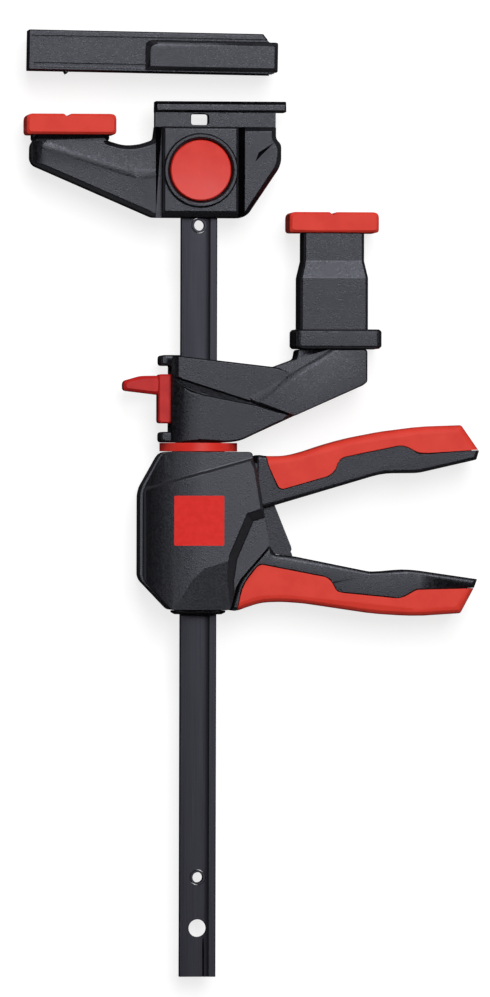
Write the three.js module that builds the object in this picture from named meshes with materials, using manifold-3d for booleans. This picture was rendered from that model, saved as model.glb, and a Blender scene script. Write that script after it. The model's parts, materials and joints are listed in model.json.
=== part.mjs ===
// A one-handed bar clamp, shown lying on its back: a flat steel bar, a fixed jaw held by a
// push button, a sliding jaw, a housing that turns about the bar with two handles, and a
// loose adapter bar that lies above the fixed jaw it plugs onto.
//
// Lengths are millimetres and +Z points up. The parts are laid out in a working frame: the
// bar's axis is the Y axis, its lower end is y = 0 and its middle plane is z = 0. The group
// is then moved so that the origin lies at the middle of the underside.

import * as THREE from "three";
import { mergeVertices } from "three/addons/utils/BufferGeometryUtils.js";
import Module from "manifold-3d";

// Clearances and helpers for cutting
const seatGap = 0.3; // between a fixed piece and the piece that carries it
const slideGap = 0.35; // round the bar, in everything that slides on it
const turnGap = 0.3; // round a pin or a bearing
const cutOverrun = 3; // how far a cutting tool stands out of what it cuts
const weldDistance = 0.0001;
const spaceReach = 200; // of a cutting space beyond the part

// Rounding of outlines and edges, as shares
const cornerSteps = 3;
const flankSteps = 5;
const crownSteps = 10;
const cornerShare = 0.45; // of an outline's side that a rounding may take
const sharpestCorner = 0.5;
const hardEdge = [[1, 0], [0, 1]];
const softEdge = [[1, 0], [0.5, 0.13], [0.13, 0.5], [0, 1]];

// Bar
const barLength = 465;
const barWidth = 20;
const barThickness = 6;
const barGrooveWidth = 10.4;
const barGrooveDepth = 0.7;
const barEdgeBreak = 0.5;
const hangHoleRadius = 4.9;
const hangHoleFromEnd = 26.7;
const lowerStopFromEnd = 54.7;
const upperStopFromTop = 51.5;
const lockHoleRadius = 4;
const lockHoleFromTop = 21.5;
const stopPinRadius = 4;
const stopPinBore = 2.9;
const stopPinLength = 8;

// Fixed jaw
const fixedBlockWidth = 42;
const fixedBlockHeight = 49.9;
const fixedBlockDepth = 24;
const fixedBlockEdge = 1.2;
const fixedBlockFootChamfer = 3.2;
const fixedArmReach = 93.6;
const fixedWingReach = 44.8;
const fixedArmDepth = 20;
const fixedArmEdge = 2.4;
const fixedCornerRound = 1.6;
const fixedNoseLength = 9;
const fixedNoseDrop = 4.5;
const fixedRibRise = 0.6;
const fixedGrooveWidth = 3.6;
const fixedGrooveFloor = 12; // depth left between the two grooves
const barTopRoom = 1; // above the bar's end in its blind socket
const blockAboveBar = 2.6;
const neckHeight = 8.2;
const neckDepth = 10;
const flangeHeight = 5.9;
const flangeDepth = 16;
const flangeOverhang = 5.7;
const flangeEdge = 0.8;
const neckSlotWidth = 9.6;
const neckSlotHeight = 6.1;
const neckSlotBelowFlange = 1;

// Push button and lock
const bezelRadius = 20.5;
const bezelRise = 2.4;
const bezelWall = 3.2;
const bezelSleeveWall = 1.4;
const bezelSleeveDepth = 4.6;
const buttonGap = 0.5;
const buttonRise = 1.6;
const buttonDish = 0.7;
const buttonCapThickness = 2.4;
const buttonSkirtDepth = 2.2;
const buttonSkirtWall = 1.6;
const buttonTravel = 3.4;
const wellRoof = 2; // between the bar socket and the floor of the button's well
const stirrupLegInside = 12.1;
const stirrupLegThickness = 2;
const stirrupWidth = 8;
const stirrupPlate = 1.6;
const stirrupDrop = 2; // from the bar's back to the plate, at rest
const lockPinRadius = 3.6;
const lockPinBite = 2.8;
const buttonSpringRadius = 7;
const buttonSpringWire = 0.9;
const buttonSpringTurns = 2.25;

// Pads
const padWidth = 49.4;
const padHeight = 11.3;
const padDepth = 30;
const padRound = 3;
const padEdge = 1.4;
const padWall = 3.4;
const padRoof = 4.6;
const padNotchWidth = 3.9;
const padNotchDepth = 1.7;
const fixedNotchOffset = -2.3; // of the V from the middle of its pad
const slidingNotchOffset = -0.6;

// Sliding jaw
const slidingJawBelowStop = 119.5; // its foot, as photographed
const slidingJawHeight = 48;
const slidingJawReach = 91.8;
const slidingSleeveLeft = 16;
const slidingArmDepth = 37;
const slidingSleeveDepth = 34.4;
const slidingLowerDepth = 34;
const slidingCoreDepth = 28; // in the grooves between them
const slidingEdge = 1.6;
const slidingCornerRound = 1.8;
const slidingBandWidth = 5.2; // of the slope that leads from the sleeve up to the arm
const slidingCrownStart = 1; // left of the bar, where the lower faces start to fall away
const slidingCrownDrop = 4.5;
const slidingChamferStart = 11.8;
const slidingChamferDrop = 5.2;
const lugReach = 5.8; // of the two lugs that frame the release lever
const lugHeight = 5.8;
const lugDepth = 25;

// Post, collar
const postLowerWidth = 37.6;
const postUpperWidth = 33.6;
const postLowerDepth = 29;
const postUpperDepth = 24.6;
const postLowerHeight = 39;
const postFacetHeight = 9.2;
const postUpperHeight = 15.3;
const postEdge = 1.2;
const postWall = 4;
const spigotHeight = 16;
const postOffset = 0.8; // of the post from the middle of the jaw's column
const collarOffset = 2.1; // of the collar from the middle of the post
const collarWidth = 47.8;
const collarDepth = 39.4;
const collarHeight = 10.6;
const collarRound = 3;
const collarEdge = 1.2;

// Brake and release lever
const brakePlateThickness = 3;
const brakePlateDepth = 22;
const brakePlateLength = 37;
const brakePivotFromBar = 6.6; // from the bar's edge
const brakeAboveFoot = 24;
const brakeTilt = 5; // degrees, while the plate grips
const brakeWindowRoom = 0.9;
const brakeRim = 2.6; // of the wide part, left of the bar
const brakeSpringHeight = 10.6;
const brakeSpringRadius = 3.2;
const brakeSpringWire = 0.8;
const brakeSpringTurns = 4;
const leverThickness = 6.7;
const leverHeight = 27;
const leverDepth = 17.6;
const leverTabReach = 20.8;
const leverTabDepth = 15;
const leverRoom = 0.4;
const leverPocketBehind = 1.6;

// Swivel
const ringRadius = 21.4;
const ringHeight = 4.6;
const ringGap = 0.25;
const coreRadius = 14.5;
const coreSpigotRadius = 12.6;
const coreSpigotHeight = 6;
const coreFlangeRadius = 17.5;
const coreFlangeHeight = 3;
const bushRadius = 13;
const bushRimRadius = 15.2;
const bushRimHeight = 2.2;
const bushBore = 10.95;
const bushFlangeRadius = 15;
const bushFlangeHeight = 2.6;

// Housing
const housingLeft = 33;
const housingRight = 38.3;
const housingHeight = 87;
const housingDepth = 44;
const housingWall = 2.5;
const housingTopWall = 5;
const housingFoot = 2.4; // of the lower bush's rim, below the housing
const housingEdge = 1.8;
const housingRound = 1.8;
const frontCrownStart = 8; // right of the bar's axis, where the front starts to fall away
const frontCrownDrop = 8.8;
const backCrownStart = 13; // left of it, for the back
const backCrownDrop = 4.2;
const housingRim = 1.3; // of the flat rim along the left side
const housingStep = 1.3; // how far the top is set back above the upper crease
const housingStepWidth = 1.6; // of the slope down to it
const housingSideDepth = 37; // where the right-hand facet is set back
const housingSideSlope = 4.8;
const footFacetSlope = 4; // degrees
const partingGap = 0.3;
const screwShank = 1.5;
const screwHeadRadius = 3.1;
const screwHeadHeight = 2.4;
const screwSink = 4;
const screwTipFromFront = 6;
const bossRadius = 3.6;

// Handles
const handleDepth = 24;
const handleEdge = 2;
const handleRound = 3;
const gripDepth = 27;
const gripEdge = 4;
const gripRound = 5;
const gripCoreDepth = 13;
const upperHandleAt = 30.6; // where the neck leaves the housing, from the bar's axis
const upperHandleLength = 123.5;
const upperHandleHeight = 45.8;
const upperHandleRise = 15.1; // of its tip, above the housing
const lowerHandleAt = 17.2;
const lowerHandleLength = 136;
const lowerHandleHeight = 39.6;
const lowerHandleDrop = 3.3; // of its belly, below the housing

// Lever pivot, web and feed
const pivotFromBar = 43;
const pivotAboveFoot = 27.6;
const pivotPinRadius = 3;
const pivotPinFront = 10; // its blind end, in front of the middle plane
const webDepth = 11;
const webRadius = 9;
const webSlotRoom = 0.7;
const noseDepth = 21;
const feedPlateRadius = 16;
const feedPlateThickness = 1.9;
const feedPlateCount = 3;
const thrustRingRadius = 18;
const thrustRingBore = 11.2;
const thrustRingHeight = 3;
const thrustAbovePivot = 9.2; // top of the thrust ring
const feedSpringRadius = 12.6;
const feedSpringWire = 1.4;
const feedSpringTurns = 4;

// Adapter bar
const adapterLength = 137.4;
const adapterHeight = 22.2;
const adapterDepth = 20;
const adapterFaceDepth = 16;
const adapterRim = 3;
const adapterFoot = 5.3;
const adapterBlockStart = 64.6;
const adapterBlockHeight = 17.6;
const adapterBlockDepth = 25;
const adapterBlockRound = 4;
const adapterBlockEdge = 2.2;
const adapterNoseChamfer = 6.4;
const adapterEdge = 0.6;
const adapterChannelHeight = 10.4;
const adapterChannelRoom = 0.5;
const adapterChannelStart = 68.6;
const adapterLift = 23.1; // how far it lies above its seat
const adapterSeatRoom = 0.7; // between the seated bar and the pad
const adapterLean = 0.8; // degrees that it lies askew
const adapterLugHeight = 1.8;
const adapterLugWidth = 3;

// Colours
const charcoal = new THREE.MeshStandardMaterial({ color: 0x3b3b42, roughness: 0.62, metalness: 0 });
const signalRed = new THREE.MeshStandardMaterial({ color: 0xd22a28, roughness: 0.5, metalness: 0 });
const blackSteel = new THREE.MeshStandardMaterial({ color: 0x2c2c31, roughness: 0.42, metalness: 0.7 });
const brightSteel = new THREE.MeshStandardMaterial({ color: 0xa8a9ad, roughness: 0.35, metalness: 1 });
const acetal = new THREE.MeshStandardMaterial({ color: 0x8d8e91, roughness: 0.5, metalness: 0 });

// Outlines, as shares of the size of the piece they belong to. A third value makes the
// rounding of that corner larger.
const fixedJawShares = [
  [0.522, 0], [0.598, 0.044], [0.971, 0.543], [1, 0.625], [1, 0.808], [0.935, 0.872],
  [0.935, 1, 0], [-0.263, 1, 0], [-0.272, 0.858], [-0.36, 0.8, 6], [-0.451, 0.788, 6],
  [-0.547, 0.842, 2], [-0.558, 0.9], [-0.96, 0.9], [-0.998, 0.788], [-1, 0.631],
  [-0.979, 0.567], [-0.278, 0],
];
const fixedRibShares = [
  [-0.25, 0.423], [-0.25, 0.537], [-0.435, 0.541], [-0.636, 0.659], [-0.923, 0.828], [-0.944, 0.757],
  [-0.802, 0.675], [-0.392, 0.423],
];
const wingNotchShares = [[0.674, 0.615], [0.906, 0.828], [0.717, 0.719]];
const slidingJawShares = [
  [0.169, 0, 2], [0.24, 0.021, 2], [0.593, 0.333], [0.975, 0.66, 0.6], [1, 0.7, 0.6], [1, 1.073],
  [0.586, 1.073], [0.58, 0.96], [0.445, 0.865], [-1, 1, 0], [-1, 0, 0],
];
const slidingLowerShares = [
  [0.169, 0, 2], [0.24, 0.021, 2], [0.49, 0.25], [0.522, 0.318, 0.5], [0.322, 0.436, 0.5],
  [0.0054, 0.55, 4], [-0.556, 0.631, 2], [-0.88, 0.714], [-1, 0.78, 0], [-1, 0, 0],
];
const slidingUpperShares = [
  [0.3, 0.467, 0.5], [0.588, 0.806, 0.5], [0.445, 0.865], [-1, 1, 0], [-1, 0.77, 0],
  [-0.72, 0.725],
];
const slidingArmShares = [
  [0.334, 0.44, 0.5], [0.535, 0.317, 0.5], [0.56, 0.304], [0.975, 0.66, 0.6], [1, 0.7, 0.6],
  [1, 1.073], [0.586, 1.073], [0.58, 0.96], [0.445, 0.865], [0.3, 0.7], [0.289, 0.5],
];
const armCreaseShares = [[0.328, 0.431], [0.878, 1.023]];
const housingShares = [
  [-0.5, 0], [0.425, 0], [0.54, 0.182, 2], [1, 0.412, 2], [0.901, 0.633],
  [0.796, 0.905, 2], [0.752, 0.94], [0.741, 1, 2], [-0.639, 1, 2], [-0.97, 0.776, 2],
  [-1, 0.728, 2], [-1, 0.216, 2], [-0.964, 0.184],
];
const housingSideShares = [
  [0.368, -0.1], [1.4, -0.1], [1.4, 0.66], [0.92, 0.645], [0.66, 0.61], [0.4, 0.34], [0.35, 0.19],
];
const housingMouthShares = [
  [0.38, -0.1], [1.5, -0.1], [1.5, 0.97], [0.55, 0.97], [0.55, 0.45], [0.45, 0.2],
];
const topCreaseShares = [[-1, 0.748], [0.72, 0.943]];
const footCreaseShares = [[0.4, 0.31], [-1, 0.209]];
const handleRootShares = [[0.57, 0.66], [0.9, 0.66], [0.83, 0.93], [0.57, 0.93]];
const webShares = [[0.64, 0.9], [0.64, 0.49], [0.8, 0.3], [1.36, 0.37], [1.068, 0.69], [0.94, 0.8]];
const screwShares = [[-0.8, 0.68], [-0.8, 0.28], [0.66, 0.84]];
const upperHandleShares = [
  [0, 0], [0.037, 0, 0.5], [0.079, 0.022, 0.5], [0.569, 0.417, 2], [0.718, 0.421, 2],
  [0.7465, 0.432, 2], [0.99, 0.585, 0.2], [1.002, 0.69, 0.2], [0.922, 1, 0.2],
  [0.746, 0.985, 5], [0.568, 0.921, 5], [0.426, 0.845, 5], [0.32, 0.769, 5], [0.214, 0.672, 5],
  [0.1425, 0.6245, 5], [0.047, 0.62], [0, 0.644],
];
const upperHardShares = [
  [-0.1, -0.3, 0], [1.2, -0.3, 0], [1.2, 0.74, 0], [0.991, 0.701, 0], [0.753, 0.657], [0.7247, 0.666],
  [0.6745, 0.736], [0.646, 0.749], [0.483, 0.659, 2], [0.391, 0.605], [0.373, 0.5655],
  [0.356, 0.452], [0.328, 0.384], [0.1215, 0.223], [0.104, 0.24], [0.061, 0.472, 2],
  [0.047, 0.62, 0], [0.043, 1, 0], [-0.1, 1, 0],
];
const upperCoreShares = [
  [0.12, 0.15], [0.35, 0.33], [0.38, 0.42], [0.41, 0.5], [0.49, 0.55], [0.65, 0.63], [0.75, 0.56],
  [0.94, 0.62], [0.975, 0.65], [0.97, 0.74], [0.9, 0.88], [0.75, 0.865], [0.57, 0.8], [0.43, 0.72],
  [0.33, 0.645], [0.22, 0.55], [0.1425, 0.5], [0.09, 0.5], [0.09, 0.3],
];
const lowerHandleShares = [
  [0, 0.071], [0.03, 0.076], [0.06, 0.116, 3], [0.123, 0.187, 5], [0.2, 0.2, 5],
  [0.304, 0.177, 5], [0.443, 0.1035, 5], [0.583, 0.033, 5], [0.757, 0, 5], [0.934, 0.045, 0.2],
  [0.99, 0.404, 0.2], [1.002, 0.52, 0.2], [0.721, 0.659, 4],
  [0.617, 0.624, 4], [0.568, 0.619, 4], [0.2515, 0.838, 2], [0.174, 0.859, 2], [0.16, 1],
  [0.0316, 0.5075, 2],
];
const lowerHardShares = [
  [0.026, -0.2, 0], [0.026, 0.0934, 0], [0.046, 0.429, 2], [0.105, 0.689], [0.123, 0.7197],
  [0.3875, 0.5455], [0.408, 0.487], [0.4287, 0.3535], [0.451, 0.331], [0.68, 0.2525],
  [0.708, 0.283], [0.743, 0.3535], [0.757, 0.374], [0.9868, 0.3965, 0], [1.2, 0.42, 0],
  [1.2, 1.3, 0], [-0.2, 1.3, 0], [-0.2, -0.2, 0],
];
const lowerCoreShares = [
  [0.09, 0.32], [0.2, 0.33], [0.31, 0.31], [0.45, 0.235], [0.59, 0.165], [0.757, 0.13],
  [0.9, 0.165], [0.965, 0.36], [0.965, 0.45], [0.76, 0.46], [0.7, 0.38], [0.66, 0.34],
  [0.47, 0.41], [0.44, 0.45], [0.42, 0.55], [0.38, 0.62], [0.2, 0.75], [0.13, 0.76],
];
const noseShares = [
  [0.279, 1.25], [0.314, 1.06], [0.407, 1.07], [0.512, 0.71], [0.628, 0], [0.86, 0],
  [0.93, 0.815], [0.698, 1.52], [0.372, 1.74], [0.291, 1.575],
];
const leverTabShares = [[0, 0.97], [0, 0.574], [1, 0.665], [1, 0.86], [0.54, 0.965]];

const wasm = await Module();
wasm.setup();
const clamp = new THREE.Group();

// Turning a closed three.js geometry into a solid that can be cut, and back

function solidOf(geometry) {
  const bare = geometry.index ? geometry.toNonIndexed() : geometry.clone();
  bare.deleteAttribute("normal");
  bare.deleteAttribute("uv");
  const merged = mergeVertices(bare, weldDistance);
  return new wasm.Manifold(
    new wasm.Mesh({
      numProp: 3,
      vertProperties: merged.attributes.position.array,
      triVerts: new Uint32Array(merged.index.array),
    }),
  );
}

function addPiece(name, solid, material) {
  const surface = solid.getMesh();
  const geometry = new THREE.BufferGeometry();
  geometry.setAttribute("position", new THREE.BufferAttribute(surface.vertProperties, 3));
  geometry.setIndex(new THREE.BufferAttribute(surface.triVerts, 1));
  geometry.computeVertexNormals();
  const mesh = new THREE.Mesh(geometry, material);
  mesh.name = name;
  clamp.add(mesh);
  return mesh;
}

const join = (first, ...others) => others.reduce((whole, piece) => whole.add(piece), first);
const cut = (first, ...tools) => tools.reduce((whole, tool) => whole.subtract(tool), first);

// Outlines

// Corners [x, y, rounding] of a share table, on a piece that starts at x, y.
function place(shares, { x = 0, y = 0, right, left = right, up }) {
  return shares.map(([sx, sy, round]) => [x + sx * (sx < 0 ? left : right), y + sy * up, round]);
}

// The same outline drawn in by a distance, or by less where its sides are short.
function drawnIn(corners, by) {
  const count = corners.length;
  const points = corners.map(([x, y]) => new THREE.Vector2(x, y));
  const side = THREE.ShapeUtils.isClockWise(points) ? -1 : 1;
  return corners.map(([x, y, round], i) => {
    const before = points[i].clone().sub(points[(i + count - 1) % count]);
    const after = points[(i + 1) % count].clone().sub(points[i]);
    const shortest = Math.min(before.length(), after.length());
    before.normalize();
    after.normalize();
    const turn = Math.atan2(side * before.cross(after), before.dot(after));
    const room = turn > 0 ? (cornerShare * shortest) / Math.tan(turn / 2) : by;
    const inward = new THREE.Vector2(-before.y - after.y, before.x + after.x);
    const move = (2 * side * Math.min(by, room)) / Math.max(inward.lengthSq(), sharpestCorner);
    return [x + inward.x * move, y + inward.y * move, round];
  });
}

// The points of an outline whose corners are rounded by curves of so many steps.
function outline(corners, rounding, steps = cornerSteps) {
  const count = corners.length;
  const points = corners.map(([x, y]) => new THREE.Vector2(x, y));
  return corners.flatMap(([, , more = 1], i) => {
    const before = points[(i + count - 1) % count].clone().sub(points[i]);
    const after = points[(i + 1) % count].clone().sub(points[i]);
    if (rounding * more === 0) return [points[i]];
    const reach = Math.min(rounding * more, before.length() * cornerShare, after.length() * cornerShare);
    const start = points[i].clone().add(before.setLength(reach));
    const end = points[i].clone().add(after.setLength(reach));
    return new THREE.QuadraticBezierCurve(start, points[i], end).getPoints(steps);
  });
}

// Solids

// A closed solid through rings of points that lie one above the other, with as many points
// in each. The first ring may be concave.
function loft(rings, flat) {
  const count = rings[0].length;
  const index = [];
  const clockwise = THREE.ShapeUtils.isClockWise(flat);
  const add = (a, b, c) => index.push(...(clockwise ? [a, c, b] : [a, b, c]));
  for (let low = 0; low + count < rings.length * count; low += count) {
    for (let i = 0; i < count; i += 1) {
      const next = (i + 1) % count;
      add(low + i, low + next, low + count + next);
      add(low + i, low + count + next, low + count + i);
    }
  }
  const last = (rings.length - 1) * count;
  const caps = THREE.ShapeUtils.triangulateShape([...flat], []);
  caps.forEach(([a, b, c]) => {
    const turn = THREE.ShapeUtils.isClockWise([flat[a], flat[b], flat[c]]);
    const face = turn ? [a, c, b] : [a, b, c];
    index.push(face[0], face[2], face[1]);
    index.push(...face.map((i) => last + i));
  });
  const positions = rings.flatMap((ring) => ring.flatMap((point) => point.toArray()));
  return new wasm.Manifold(
    new wasm.Mesh({
      numProp: 3,
      vertProperties: new Float32Array(positions),
      triVerts: new Uint32Array(index),
    }),
  );
}

// A flat piece of an outline, with its middle plane at z = at, and its edges broken.
function slab(corners, depth, { edge = 0, edgeHeight = edge, rounding = 0, at = 0, soft = false } = {}) {
  const half = depth / 2;
  const full = outline(corners, rounding);
  const lift = (points, z) => points.map((point) => new THREE.Vector3(point.x, point.y, at + z));
  const drawn = (share) => outline(drawnIn(corners, edge * share), rounding);
  const edges = edge === 0 ? [] : soft ? softEdge : hardEdge;
  const levels = edges.map(([inward, down]) => [drawn(inward), half - edgeHeight * down]);
  const rings = [
    ...levels.map(([points, z]) => lift(points, -z)),
    ...(edge === 0 ? [lift(full, -half), lift(full, half)] : []),
    ...levels.reverse().map(([points, z]) => lift(points, z)),
  ];
  return loft(rings, edge === 0 ? full : drawn(1));
}

function box(x, y, z) {
  const geometry = new THREE.BoxGeometry(x[1] - x[0], y[1] - y[0], z[1] - z[0]);
  geometry.translate((x[0] + x[1]) / 2, (y[0] + y[1]) / 2, (z[0] + z[1]) / 2);
  return solidOf(geometry);
}

function rodAlongZ(radius, x, y, z, sides = 24) {
  const geometry = new THREE.CylinderGeometry(radius, radius, z[1] - z[0], sides);
  geometry.rotateX(Math.PI / 2);
  geometry.translate(x, y, (z[0] + z[1]) / 2);
  return solidOf(geometry);
}

// A turned piece about the Y axis, from its half section [radius, height].
function turned(section, y = 0, sides = 40) {
  const points = [...section, section[0]].map(([radius, height]) => new THREE.Vector2(radius, height));
  const geometry = new THREE.LatheGeometry(points, sides);
  geometry.translate(0, y, 0);
  return solidOf(geometry);
}

const ringSection = (inner, outer, low, high) => [[inner, low], [outer, low], [outer, high], [inner, high]];

// The bar's own section with room round it, from one height to another.
const barTunnel = (low, high, room = slideGap) =>
  box(
    [-barWidth / 2 - room, barWidth / 2 + room],
    [low, high],
    [-barThickness / 2 - room, barThickness / 2 + room],
  );

// A coil about the Y axis. Its turns are one unbroken tube.
function coil(radius, wire, turns, height) {
  const stepsPerTurn = 12;
  const steps = Math.round(turns * stepsPerTurn);
  const rise = height - wire;
  const points = Array.from({ length: steps + 1 }, (_, i) => {
    const angle = (i / stepsPerTurn) * 2 * Math.PI;
    return new THREE.Vector3(
      radius * Math.cos(angle),
      (i / steps) * rise + wire / 2,
      radius * Math.sin(angle),
    );
  });
  const section = new THREE.Shape();
  section.absarc(0, 0, wire / 2, 0, 2 * Math.PI);
  return new THREE.ExtrudeGeometry(section, {
    steps,
    bevelEnabled: false,
    curveSegments: 3,
    extrudePath: new THREE.CatmullRomCurve3(points),
  });
}

// Bar and its stops

const upperStopY = barLength - upperStopFromTop;
const buttonY = barLength - lockHoleFromTop;

function barSection() {
  const half = barWidth / 2;
  const flat = barThickness / 2;
  const groove = barGrooveWidth / 2;
  const floor = flat - 2 * barGrooveDepth;
  const shape = new THREE.Shape();
  shape.moveTo(-half + barEdgeBreak, -flat);
  shape.lineTo(-groove, -flat);
  shape.quadraticCurveTo(0, -floor, groove, -flat);
  shape.lineTo(half - barEdgeBreak, -flat);
  shape.lineTo(half, -flat + barEdgeBreak);
  shape.lineTo(half, flat - barEdgeBreak);
  shape.lineTo(half - barEdgeBreak, flat);
  shape.lineTo(groove, flat);
  shape.quadraticCurveTo(0, floor, -groove, flat);
  shape.lineTo(-half + barEdgeBreak, flat);
  shape.lineTo(-half, flat - barEdgeBreak);
  shape.lineTo(-half, -flat + barEdgeBreak);
  shape.closePath();
  return shape;
}

function bar() {
  const blank = new THREE.ExtrudeGeometry(barSection(), {
    depth: barLength,
    bevelEnabled: false,
    curveSegments: 8,
  });
  blank.rotateX(-Math.PI / 2);
  const through = [-barThickness, barThickness];
  return cut(
    solidOf(blank),
    rodAlongZ(hangHoleRadius, 0, hangHoleFromEnd, through),
    rodAlongZ(stopPinRadius + seatGap, 0, lowerStopFromEnd, through),
    rodAlongZ(stopPinRadius + seatGap, 0, upperStopY, through),
    rodAlongZ(lockHoleRadius, 0, buttonY, through),
  );
}

// A hollow pin, pressed through the bar and standing proud of both its faces.
function stopPin(y) {
  const half = stopPinLength / 2;
  return cut(
    rodAlongZ(stopPinRadius, 0, y, [-half, half]),
    rodAlongZ(stopPinBore, 0, y, [-half - cutOverrun, half + cutOverrun]),
  );
}

// The space between two flanks that fall away towards one end: a profile across the bar,
// drawn along it. At its end, x = end, it is narrower by twice the drop.
function flankedSpace({ end, start, depth, drop, low, high, steps = flankSteps }) {
  const side = Math.sign(end - start);
  const half = depth / 2;
  const far = start - side * spaceReach;
  const upper = Array.from({ length: steps + 1 }, (_, i) => {
    const angle = (i / steps) * (Math.PI / 2);
    return [start + (end - start) * Math.sin(angle), half - drop * (1 - Math.cos(angle))];
  });
  const corners = [
    [far, half],
    ...upper,
    [end + side * spaceReach, half - drop],
    [end + side * spaceReach, drop - half],
    ...upper.map(([x, z]) => [x, -z]).reverse(),
    [far, -half],
  ];
  return slab(corners, high - low).rotate([-90, 0, 0]).translate([0, (low + high) / 2, 0]);
}

// Fixed jaw

const blockTop = barLength + blockAboveBar;
const blockFoot = blockTop - fixedBlockHeight;
const fixedFrame = { y: blockFoot, right: fixedWingReach, left: fixedArmReach, up: fixedBlockHeight };
const grooveEnd = fixedBlockWidth / 2 + fixedGrooveWidth;
const neckTop = blockTop + neckHeight;
const flangeTop = neckTop + flangeHeight;
const neckRight = fixedWingReach * fixedJawShares[6][0];
const flangeRight = neckRight + flangeOverhang;
const armTop = blockFoot + fixedBlockHeight * fixedJawShares[12][1];
const armHead = [fixedArmReach * fixedJawShares[13][0], fixedArmReach * fixedJawShares[12][0]];
const fixedPadX = (armHead[0] + armHead[1]) / 2 - seatGap;
const wellFloor = barThickness / 2 + slideGap + wellRoof;
const wellRadius = bezelRadius - bezelWall + bezelSleeveWall + seatGap;
const blockFront = fixedBlockDepth / 2;

function padHead(x, y, width, depth) {
  const head = padHeight - padRoof - seatGap;
  return slab(
    [
      [x - width / 2, y - cutOverrun],
      [x + width / 2, y - cutOverrun],
      [x + width / 2, y + head],
      [x - width / 2, y + head],
    ],
    depth,
    { edge: padEdge, rounding: padEdge },
  );
}

function footChamfers() {
  const reach = fixedBlockFootChamfer * Math.SQRT2;
  return [1, -1].map((side) => {
    const tool = new THREE.BoxGeometry(fixedBlockWidth + 2 * fixedGrooveWidth, reach, reach);
    tool.rotateX(Math.PI / 4);
    tool.translate(0, blockFoot, side * blockFront);
    return solidOf(tool);
  });
}

function lockPocket() {
  const legs = stirrupLegInside + stirrupLegThickness + turnGap;
  const back = -barThickness / 2 - stirrupDrop - stirrupPlate - buttonTravel - turnGap;
  const half = stirrupWidth / 2 + turnGap;
  const legRoom = [stirrupLegInside - turnGap, legs];
  return [
    box([-legs, legs], [buttonY - half, buttonY + half], [back, -barThickness / 2]),
    box(legRoom, [buttonY - half, buttonY + half], [back, wellFloor + turnGap]),
    box([-legRoom[1], -legRoom[0]], [buttonY - half, buttonY + half], [back, wellFloor + turnGap]),
  ];
}

function fixedJaw() {
  const half = fixedBlockWidth / 2;
  const nose = flankedSpace({
    end: -fixedArmReach,
    start: fixedNoseLength - fixedArmReach,
    depth: fixedArmDepth,
    drop: fixedNoseDrop,
    low: blockFoot - fixedBlockHeight,
    high: blockTop + fixedBlockHeight,
  });
  const body = join(
    slab(place(fixedJawShares, fixedFrame), fixedArmDepth, {
      edge: fixedArmEdge,
      rounding: fixedCornerRound,
    }).intersect(nose),
    slab(place(fixedRibShares, fixedFrame), fixedArmDepth + 2 * fixedRibRise, {
      edge: fixedRibRise,
      rounding: fixedCornerRound,
    }),
    padHead(fixedPadX, armTop, padWidth - 2 * padWall - 2 * seatGap, padDepth - 2 * padWall - 2 * seatGap),
  );
  const grooves = [1, -1].flatMap((side) =>
    [1, -1].map((face) =>
      box(
        [Math.min(side * half, side * grooveEnd), Math.max(side * half, side * grooveEnd)],
        [blockFoot - cutOverrun, blockTop + cutOverrun],
        face > 0
          ? [fixedGrooveFloor / 2, fixedArmDepth]
          : [-fixedArmDepth, -fixedGrooveFloor / 2],
      ),
    ),
  );
  const block = cut(
    slab(
      [[-half, blockFoot], [half, blockFoot], [half, blockTop], [-half, blockTop]],
      fixedBlockDepth,
      { edge: fixedBlockEdge },
    ),
    ...footChamfers(),
  );
  const notches = [1, -1].map((face) =>
    slab(place(wingNotchShares, fixedFrame), fixedArmEdge, { at: (face * fixedArmDepth) / 2 }),
  );
  const neck = box(
    [-grooveEnd, neckRight],
    [blockTop - fixedArmEdge, neckTop + flangeEdge],
    [-neckDepth / 2, neckDepth / 2],
  );
  const flange = slab(
    [[-grooveEnd, neckTop], [flangeRight, neckTop], [flangeRight, flangeTop], [-grooveEnd, flangeTop]],
    flangeDepth,
    { edge: flangeEdge },
  );
  const slotTop = neckTop - neckSlotBelowFlange;
  return cut(
    join(cut(body, ...grooves, ...notches), block, neck, flange),
    barTunnel(blockFoot - cutOverrun, barLength + barTopRoom),
    rodAlongZ(wellRadius, 0, buttonY, [wellFloor, fixedBlockDepth], 48),
    ...lockPocket(),
    slab(
      [
        [-neckSlotWidth / 2, slotTop - neckSlotHeight],
        [neckSlotWidth / 2, slotTop - neckSlotHeight],
        [neckSlotWidth / 2, slotTop],
        [-neckSlotWidth / 2, slotTop],
      ],
      fixedBlockDepth,
      { rounding: neckSlotHeight / 4 },
    ),
  );
}

// A soft cap over a jaw's head, with a small V across its face.
function pad(x, y, notchX) {
  const half = padWidth / 2;
  const top = y + padHeight;
  const inside = half - padWall;
  const notch = padNotchWidth / 2;
  return cut(
    slab([[x - half, y, 0.6], [x + half, y, 0.6], [x + half, top], [x - half, top]], padDepth, {
      edge: padEdge,
      rounding: padRound,
    }),
    box(
      [x - inside, x + inside],
      [y - cutOverrun, top - padRoof],
      [padWall - padDepth / 2, padDepth / 2 - padWall],
    ),
    slab(
      [
        [x + notchX - notch, top + weldDistance],
        [x + notchX, top - padNotchDepth],
        [x + notchX + notch, top + weldDistance],
      ],
      2 * padDepth,
    ),
  );
}

// Push button and lock

function turnedAboutButton(section) {
  const points = [...section, section[0]].map(([radius, height]) => new THREE.Vector2(radius, height));
  const geometry = new THREE.LatheGeometry(points, 48);
  geometry.rotateX(Math.PI / 2);
  geometry.translate(0, buttonY, 0);
  return solidOf(geometry);
}

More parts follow.
